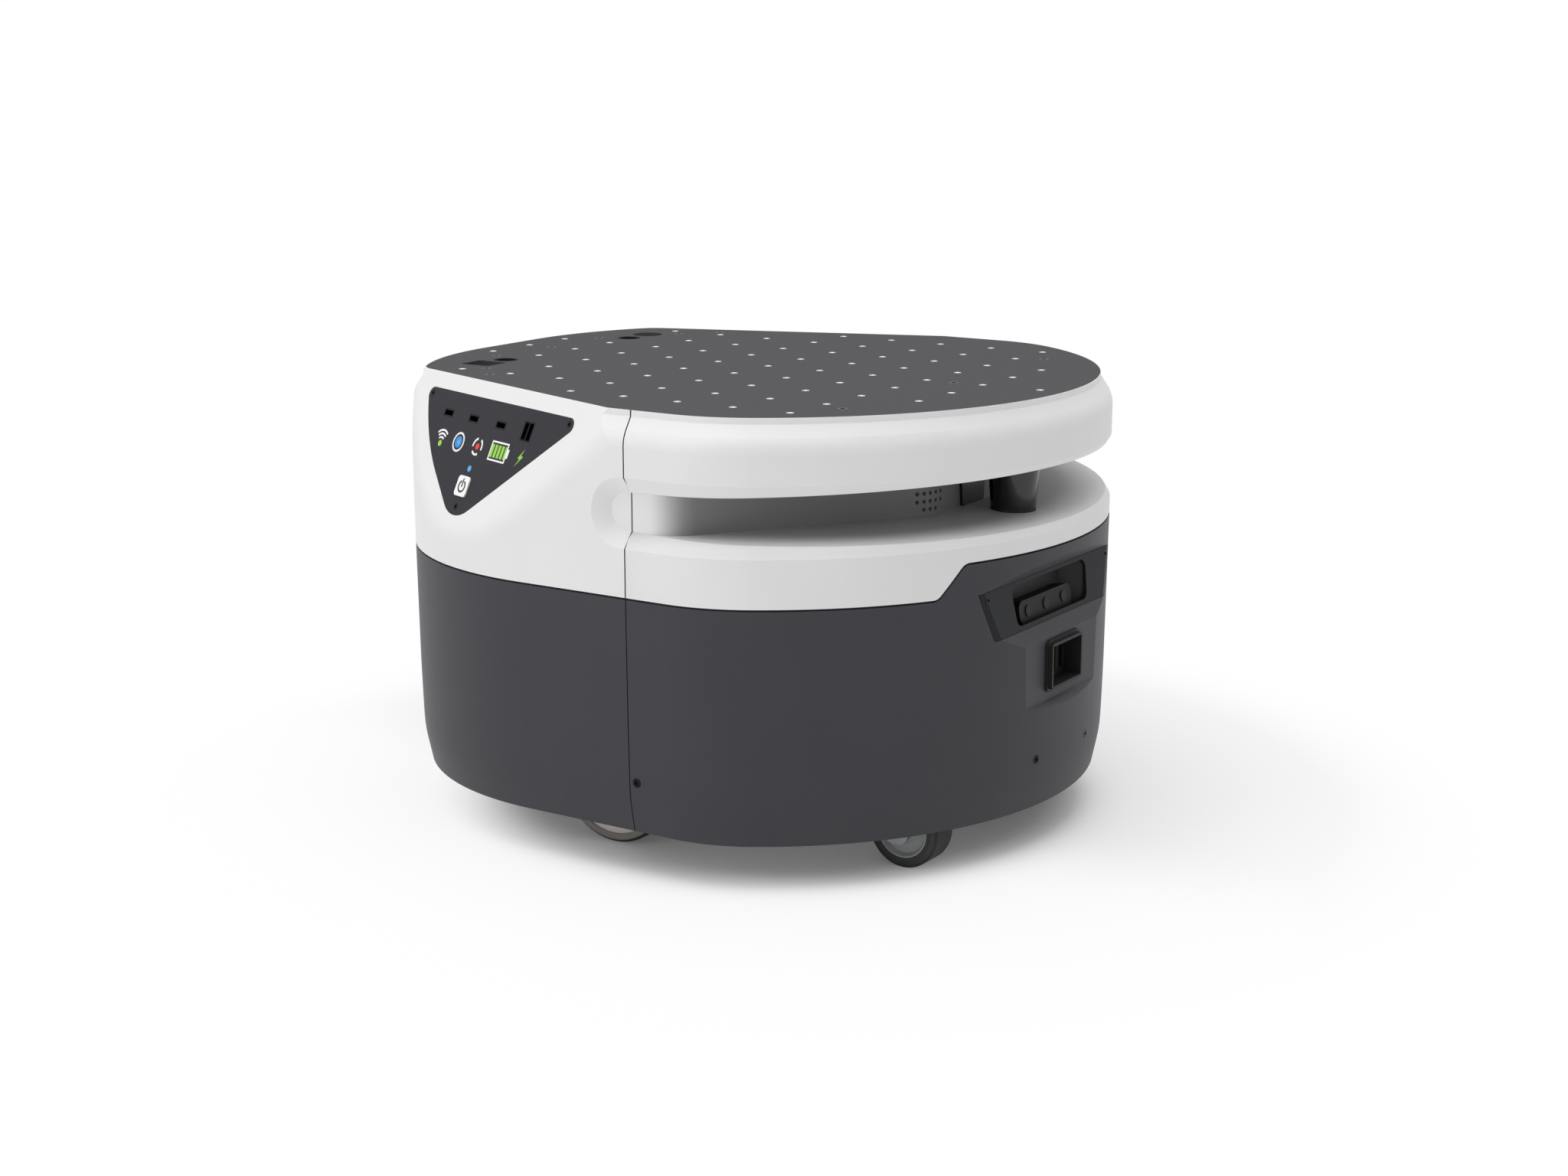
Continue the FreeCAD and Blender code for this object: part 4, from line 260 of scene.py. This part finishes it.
# ---- load deck ----
# A 5 mm aluminium plate with a baked powder coat: even dark grey, matt, with the slight
# orange peel of about 2 mm and the pin-point speckle of the powder. The speckle is about
# 0.4 mm and is drawn at 0.8 mm.
powder_coat, tree = empty_material("powder_coated_aluminium")
place = add(tree, "TexCoord").outputs["Object"]
speckle = add(tree, "TexVoronoi", {"Vector": place, "Scale": 1250})
peel = add(tree, "TexNoise", {"Vector": place, "Scale": 500, "Detail": 2})
tint = add(tree, "Mix", {"Factor": speckle.outputs["Distance"], colour_a: linear("#424244"),
                         colour_b: linear("#4A4A4C")}, data_type="RGBA")
bump = add(tree, "Bump", {"Height": peel.outputs["Fac"], "Strength": 0.25,
                          "Distance": 0.1 * mm})
shader = add(tree, "BsdfPrincipled", {"Base Color": tint.outputs[mixed_colour],
                                      "Roughness": 0.8, "Specular IOR Level": 0.12,
                                      "Normal": bump.outputs["Normal"], "IOR": 1.5})
add(tree, "OutputMaterial", {"Surface": shader.outputs[0]})
wear(powder_coat, "deck_plate")

# ---- threaded inserts ----
# Stainless M5 inserts are pressed flush into the deck on a 50 mm grid; each shows a bright
# turned ring and the start of its bore.


def metal(name, dark, light, roughness, brush=(1, 1, 1)):
    """Bare metal with fine tool marks, drawn out by the brush's factors along x, y and z."""
    finish, tree = empty_material(name)
    place = add(tree, "TexCoord").outputs["Object"]
    lines = add(tree, "Mapping", {"Vector": place, "Scale": brush})
    marks = add(tree, "TexNoise", {"Vector": lines.outputs["Vector"], "Scale": 900,
                                   "Detail": 4})
    tint = add(tree, "Mix", {"Factor": marks.outputs["Fac"], colour_a: linear(dark),
                             colour_b: linear(light)}, data_type="RGBA")
    gloss = add(tree, "MapRange", {"Value": marks.outputs["Fac"], "To Min": roughness - 0.06,
                                   "To Max": roughness + 0.08})
    bump = add(tree, "Bump", {"Height": marks.outputs["Fac"], "Strength": 0.1,
                              "Distance": 0.1 * mm})
    shader = add(tree, "BsdfPrincipled", {"Base Color": tint.outputs[mixed_colour],
                                          "Metallic": 1.0,
                                          "Roughness": gloss.outputs["Result"],
                                          "Normal": bump.outputs["Normal"]})
    add(tree, "OutputMaterial", {"Surface": shader.outputs[0]})
    return finish


def new_piece(name, shape, finish, body="root"):
    """Makes a piece of a mesh, with its finish and its body."""
    mesh = bpy.data.meshes.new(name)
    bmesh.ops.recalc_face_normals(shape, faces=shape.faces)
    shape.to_mesh(mesh)
    shape.free()
    mesh.materials.append(finish)
    piece = bpy.data.objects.new(name, mesh)
    bpy.context.collection.objects.link(piece)
    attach(piece, body)


def lathe(shape, profile, centre):
    """Turns a closed profile of (radius, height) points in mm round the z axis at centre."""
    corners = [shape.verts.new(centre + Vector((r * mm, 0, z * mm))) for r, z in profile]
    edges = [shape.edges.new((corners[k - 1], corners[k])) for k in range(len(corners))]
    bmesh.ops.spin(shape, geom=corners + edges, cent=centre, axis=(0, 0, 1), angle=2 * pi,
                   steps=20, use_merge=True)


stainless = metal("turned_stainless_steel", "#C9C9C6", "#E2E2DF", roughness=0.32)
deck_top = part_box("deck_plate")[1].z
# the flange's radius and height, the chamfer's and the bore's radius, and the bore's depth
flange, proud, mouth, bore, bore_depth = 3.0, 0.06, 2.05, 1.85, 3.5
ring = [(flange, 0.0), (flange - 0.1, proud), (mouth, proud), (bore, -0.15),
        (bore, -bore_depth), (mouth, -bore_depth), (mouth, 0.0)]
pitch = 50
# each row's first and last insert along x, by how far the row lies to either side
rows = {0: (-250, 250), 50: (-250, 200), 100: (-150, 200), 150: (-200, 150), 200: (-50, 150)}
shape = bmesh.new()
for y, (first, last) in rows.items():
    for x in range(first, last + pitch, pitch):
        for side in {y, -y}:
            lathe(shape, ring, Vector((x * mm, side * mm, deck_top)))
new_piece("deck_inserts", shape, stainless)

# ---- deck sockets ----
# Two round sockets, a cap and a hatch cover, set flush into the deck. They are mouldings
# with a matt black rubber coat, so they hardly shine.
deck_rubber = moulded("matt_black_rubber", "#232327", "#2A2A2E", roughness=0.85, grain=1.2,
                      depth=0.05, gleam=0.02)
wear(deck_rubber, "deck_connectors")

# ---- black plastic fittings ----
# The camera's pocket, the charging socket and its flange, the scanner's foot, the speakers
# and the button's switch are glass-filled nylon: near black, with a coarser grain and
# little shine.
black_nylon = moulded("black_glass_filled_nylon", "#121213", "#19191B", roughness=0.55,
                      grain=1.2, depth=0.08, gleam=0.3)
wear(black_nylon, "camera_pocket", "charge_socket", "charge_flange", "lidar_base", "speakers",
     "button_switch")

# ---- nose panel ----
# The sloping panel round the camera is moulded in graphite ABS, darker than the skirt, and
# held by two screws.
nose_plastic = moulded("graphite_nose_panel", "#1E1F22", "#222326", roughness=0.5, grain=1.0,
                       depth=0.05, gleam=0.12)
wear(nose_plastic, "camera_bezel")

# ---- scanner and sensor windows ----
# Infrared-clear polycarbonate, moulded and polished, that looks black and shows faint smears
# from wiping. The scanner's turning mirror behind it is polished aluminium.
smoked, tree = empty_material("smoked_polycarbonate")
place = add(tree, "TexCoord").outputs["Object"]
smear = add(tree, "TexNoise", {"Vector": place, "Scale": 60, "Detail": 3})
gloss = add(tree, "MapRange", {"Value": smear.outputs["Fac"], "To Min": 0.1, "To Max": 0.2})
shader = add(tree, "BsdfPrincipled", {"Base Color": linear("#0C0C0E"), "IOR": 1.58,
                                      "Roughness": gloss.outputs["Result"]})
add(tree, "OutputMaterial", {"Surface": shader.outputs[0]})
wear(smoked, "lidar_window", "sensor_window")
wear(metal("polished_aluminium", "#D9DADC", "#E4E5E7", roughness=0.12), "lidar_mirror")

# ---- stereo camera ----
# A bar with a matt black moulded cover, and three lenses of coated glass: black, with a faint
# blue-violet bloom painted at the rim as the coating's reflection.
camera_cover = moulded("matt_black_camera_cover", "#161617", "#1B1B1D", roughness=0.5,
                       grain=1.0, depth=0.03, gleam=0.15)
wear(camera_cover, "camera_body")
lens_glass, tree = empty_material("coated_lens_glass")
# painted reflection: the colour turns blue-violet where the lens is seen edge-on
rim = add(tree, "LayerWeight", {"Blend": 0.35})
tint = add(tree, "Mix", {"Factor": rim.outputs["Facing"], colour_a: linear("#101012"),
                         colour_b: linear("#18191E")}, data_type="RGBA")
shader = add(tree, "BsdfPrincipled", {"Base Color": tint.outputs[mixed_colour],
                                      "Roughness": 0.35, "IOR": 1.52,
                                      "Specular IOR Level": 0.12})
add(tree, "OutputMaterial", {"Surface": shader.outputs[0]})
wear(lens_glass, "camera_lenses")

# ---- fasteners and motors ----
# Socket screws of blackened steel, oiled and slightly uneven in tone. The gearmotors that
# drive the wheels have the same finish.
black_steel = metal("blackened_steel", "#1B1B1C", "#2A2A2B", roughness=0.42)
wear(black_steel, "deck_screws", "panel_screws", "bezel_screws", "skirt_screws",
     "drive_motor_left", "drive_motor_right")

# ---- control panel ----
# A graphite polycarbonate plate with a matt front, screwed into its recess. The marks on
# it are screen-printed in white, green and blue, and round lamps show through it.
panel_film = moulded("matt_printed_polycarbonate", "#2F2E33", "#333237", roughness=0.5,
                     grain=0.9, depth=0.03, gleam=0.1)
wear(panel_film, "control_panel")
# the panel's own axes, from the way in which the power button is pressed
press = next(j for j in frame["joints"] if j["name"] == "power_button_press")
outwards = -Vector(press["axis"]).normalized()
forwards = Vector((0, 0, 1)).cross(outwards).normalized()
upwards = outwards.cross(forwards)
button_low, button_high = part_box("power_button")
button_centre = (button_low + button_high) / 2
face_height, button_height = (max(v.co.dot(outwards) for v in nodes[name].data.vertices)
                              for name in ("control_panel", "power_button"))
print_height = 0.08  # mm, a thick screen print
# how far forwards of the button's centre and how far above it each mark is, in mm
mark_places = {"radio_mark": (-54.7, 28.2), "ring_mark": (-27.9, 32.8),
               "ring_mark_middle": (-27.9, 32.8), "stop_mark": (1.0, 33.0),
               "battery_mark": (33.2, 33.1), "charge_mark": (65.2, 32.6),
               "power_mark": (0, -0.3)}


def arc(shape, inner, outer, start, end):
    """A flat band of a ring about the origin, between two angles in degrees."""
    way = Vector((cos(radians(start)), sin(radians(start)), 0))
    ends = [shape.verts.new(way * r) for r in (inner, outer)]
    edge = shape.edges.new(ends)
    bmesh.ops.spin(shape, geom=ends + [edge], cent=(0, 0, 0), axis=(0, 0, 1),
                   angle=radians(end - start), steps=24)


def flat_face(shape, corners):
    """A flat face through corners."""
    shape.faces.new([shape.verts.new((x, y, 0)) for x, y in corners])


def print_on(name, shape, finish, body="root", height=face_height):
    """Gives a flat drawing in mm the print's height, lays it in its place on the panel or
    the button, and makes it a piece."""
    bmesh.ops.remove_doubles(shape, verts=shape.verts, dist=0.001)
    raised = bmesh.ops.extrude_face_region(shape, geom=shape.faces[:])["geom"]
    bmesh.ops.translate(shape, vec=(0, 0, print_height),
                        verts=[v for v in raised if isinstance(v, bmesh.types.BMVert)])
    along, up = mark_places[name]
    foot = button_centre + outwards * (height - button_centre.dot(outwards))
    foot += forwards * along * mm + upwards * up * mm
    turn = Matrix((forwards, upwards, outwards)).transposed().to_4x4()
    bmesh.ops.transform(shape, matrix=Matrix.Translation(foot) @ turn @ Matrix.Scale(mm, 4),
                        verts=shape.verts)
    new_piece(name, shape, finish, body)


def ink(name, colour):
    """Opaque screen ink, slightly uneven where the mesh of the screen left it thin."""
    finish, tree = empty_material(name)
    place = add(tree, "TexCoord").outputs["Object"]
    thin = add(tree, "TexNoise", {"Vector": place, "Scale": 2500, "Detail": 2})
    darker = [0.93 * part for part in linear(colour)[:3]] + [1]
    tint = add(tree, "Mix", {"Factor": thin.outputs["Fac"], colour_a: linear(colour),
                             colour_b: darker}, data_type="RGBA")
    shader = add(tree, "BsdfPrincipled", {"Base Color": tint.outputs[mixed_colour],
                                          "Roughness": 0.45, "IOR": 1.5})
    add(tree, "OutputMaterial", {"Surface": shader.outputs[0]})
    return finish


white_ink = ink("white_screen_ink", "#F2F2F2")
green_ink = ink("green_screen_ink", "#8CC63F")
black_ink = ink("black_screen_ink", "#151517")
blue_ink = ink("blue_screen_ink", "#2E8FD8")

# Three arcs over the first lamp, for the radio link.
shape = bmesh.new()
for radius in (4.2, 7.2, 10.2):
    arc(shape, radius, radius + 1.6, 48, 132)
print_on("radio_mark", shape, white_ink)

# A plain ring with a blue middle round the second lamp.
shape = bmesh.new()
arc(shape, 6.6, 8.2, 0, 360)
print_on("ring_mark", shape, white_ink)
shape = bmesh.new()
arc(shape, 2.7, 4.8, 0, 360)
print_on("ring_mark_middle", shape, blue_ink)

# A ring in three parts round the third lamp, for the stop state.
shape = bmesh.new()
for start in (105, 220, 340):
    arc(shape, 5.6, 7.4, start, start + 80)
print_on("stop_mark", shape, white_ink)

# The outline of a battery round five bars, with a wide tip.
back, front, tip, top, neck, line = -12.8, 12.0, 14.4, 8.0, 3.6, 1.4
within = front - line
outer = [(back, -top), (front, -top), (front, -neck), (tip, -neck), (tip, neck),
         (front, neck), (front, top), (back, top)]
inner = [(back + line, line - top), (within, line - top), (within, -neck), (within, -3.0),
         (within, 3.0), (within, neck), (within, top - line), (back + line, top - line)]
shape = bmesh.new()
rims = [[shape.verts.new((x, y, 0)) for x, y in corners] for corners in (outer, inner)]
for k in range(len(outer)):
    shape.faces.new((rims[0][k - 1], rims[0][k], rims[1][k], rims[1][k - 1]))
print_on("battery_mark", shape, white_ink)

# A bolt for charging.
shape = bmesh.new()
flat_face(shape, [(-5.0, -7.8), (3.4, 1.5), (0.3, 1.9), (3.2, 7.8), (-3.6, -0.5), (-0.6, -0.9)])
print_on("charge_mark", shape, green_ink)

# ---- lamps ----
# Diffusers of milky polycarbonate, lit from behind and pressed into the panel: green, blue
# and red dots and five green bars.
lamp_glow, tree = empty_material("lit_diffuser")
place = add(tree, "TexCoord").outputs["Object"]
run = add(tree, "VectorMath", {0: place, 1: forwards}, operation="DOT_PRODUCT")
rise = add(tree, "VectorMath", {0: place, 1: upwards}, operation="DOT_PRODUCT")
green, blue, red = "#8CC63F", "#3FA0E0", "#E8141C"
colour = linear(green)
# each colour starts at a place in mm forwards of the button's centre
for along, code in ((-41, blue), (-14, red), (14, green)):
    past = add(tree, "Math", {0: run.outputs["Value"],
                              1: button_centre.dot(forwards) + along * mm},
               operation="GREATER_THAN")
    colour = add(tree, "Mix", {"Factor": past.outputs[0], colour_a: colour,
                               colour_b: linear(code)},
                 data_type="RGBA").outputs[mixed_colour]
# the lamp just over the button, under the row, is blue
row_foot = 23
lower = add(tree, "Math", {0: rise.outputs["Value"],
                           1: button_centre.dot(upwards) + row_foot * mm},
            operation="LESS_THAN")
colour = add(tree, "Mix", {"Factor": lower.outputs[0], colour_a: colour,
                           colour_b: linear(blue)}, data_type="RGBA").outputs[mixed_colour]
shader = add(tree, "BsdfPrincipled", {"Base Color": colour, "Emission Color": colour,
                                      "Emission Strength": 0.1, "Roughness": 0.3})
add(tree, "OutputMaterial", {"Surface": shader.outputs[0]})
wear(lamp_glow, "status_lights")

# ---- power button ----
# A white polycarbonate cap, square with small round corners, that slides in the panel. It
# is printed in black with the usual broken ring and bar.
button_cap = moulded("white_polycarbonate_cap", "#EFEFEF", "#F5F5F5", roughness=0.3,
                     grain=0.8, depth=0.02)
wear(button_cap, "power_button")
shape = bmesh.new()
arc(shape, 3.6, 5.2, 114, 426)
flat_face(shape, [(-0.8, -0.6), (0.8, -0.6), (0.8, 6.6), (-0.8, 6.6)])
print_on("power_mark", shape, black_ink, "button", button_height)

# ---- ports ----
# Sockets of stamped steel with a black plating, each with a tongue inside, fixed to the
# panel from behind.
wear(metal("black_plated_steel", "#1C1C1E", "#28282A", roughness=0.45), "panel_ports")

# ---- charging contacts ----
# Four blades of brass in the charging socket, darkened by use, with tool marks along their
# height.
dark_brass = metal("darkened_brass", "#2C2822", "#38332B", roughness=0.5, brush=(1, 1, 0.1))
wear(dark_brass, "charge_contacts")

# ---- chassis and what it carries ----
# The chassis plate, the deck's posts, the housings and the motor brackets are milled
# aluminium with marks along x. The battery stands in a steel tray with a dull zinc plating,
# shrunk into a blue-grey film with folds of 2.5 mm.
milled = metal("milled_aluminium", "#A3A5A8", "#B7B9BB", roughness=0.42, brush=(1, 0.05, 1))
wear(milled, "chassis_plate", "deck_posts", "computer_box", "motor_controller",
     "motor_bracket_left", "motor_bracket_right")
zinc = metal("dull_zinc_plate", "#8D8F92", "#A2A4A7", roughness=0.5)
wear(zinc, "battery_tray")
shrink_film = moulded("blue_grey_shrink_film", "#2F3338", "#383D43", roughness=0.35,
                      grain=2.5, depth=0.1)
wear(shrink_film, "battery_pack")

# ---- casters and drive wheels ----
# Casters have forks, axles and guide plates of zinc-plated steel and grey nylon hubs in
# black rubber. Drive wheels have a cast beige-grey hub and a polyurethane tyre whose sides
# are grey-brown and whose tread is black.
corners = ["front_left", "front_right", "rear_left", "rear_right"]
wear(zinc, "caster_plates", *("caster_fork_" + c for c in corners),
     *("caster_axle_" + c for c in corners))
hub_grey = moulded("grey_nylon_hub", "#A0A1A2", "#AAABAC", roughness=0.48, grain=1.2,
                   depth=0.05)
wear(hub_grey, *("caster_wheel_" + c for c in corners))
hub_beige = moulded("beige_grey_cast_hub", "#DDD5CF", "#E8E0DA", roughness=0.5, grain=1.5,
                    depth=0.08)
wear(hub_beige, "drive_hub_left", "drive_hub_right")


def rubber(name, cheeks, tread, box, edge):
    """Tyre rubber round a y axis through the middle of a tyre's box: the cheeks' two shades
    inside a radius in mm, and the tread's outside it."""
    hub = (box[0] + box[1]) / 2
    finish, tree = empty_material(name)
    place = add(tree, "TexCoord").outputs["Object"]
    flat = add(tree, "VectorMath", {0: place, 1: (1, 0, 1)}, operation="MULTIPLY")
    reach = add(tree, "VectorMath", {0: flat.outputs[0], 1: (hub.x, 0, hub.z)},
                operation="DISTANCE")
    outer = add(tree, "Math", {0: reach.outputs["Value"], 1: edge * mm},
                operation="GREATER_THAN")
    dust = add(tree, "TexNoise", {"Vector": place, "Scale": 700, "Detail": 4})
    worn = add(tree, "Mix", {"Factor": dust.outputs["Fac"], colour_a: linear(tread[0]),
                             colour_b: linear(tread[1])}, data_type="RGBA")
    cheek = add(tree, "Mix", {"Factor": dust.outputs["Fac"], colour_a: linear(cheeks[0]),
                              colour_b: linear(cheeks[1])}, data_type="RGBA")
    tint = add(tree, "Mix", {"Factor": outer.outputs[0], colour_a: cheek.outputs[mixed_colour],
                             colour_b: worn.outputs[mixed_colour]}, data_type="RGBA")
    bump = add(tree, "Bump", {"Height": dust.outputs["Fac"], "Strength": 0.3,
                              "Distance": 0.1 * mm})
    shader = add(tree, "BsdfPrincipled", {"Base Color": tint.outputs[mixed_colour],
                                          "Roughness": 0.7,
                                          "Normal": bump.outputs["Normal"]})
    add(tree, "OutputMaterial", {"Surface": shader.outputs[0]})
    return finish


black_tread = "#141414", "#1C1C1C"
for side in ("left", "right"):
    wear(rubber("drive_tyre_rubber_" + side, ("#85817C", "#8F8B86"), black_tread,
                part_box("drive_tyre_" + side), edge=50.5), "drive_tyre_" + side)
for corner in corners:
    wear(rubber("caster_tyre_rubber_" + corner, ("#2E2E2E", "#363636"), black_tread,
                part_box("caster_tyre_" + corner), edge=28.0), "caster_tyre_" + corner)
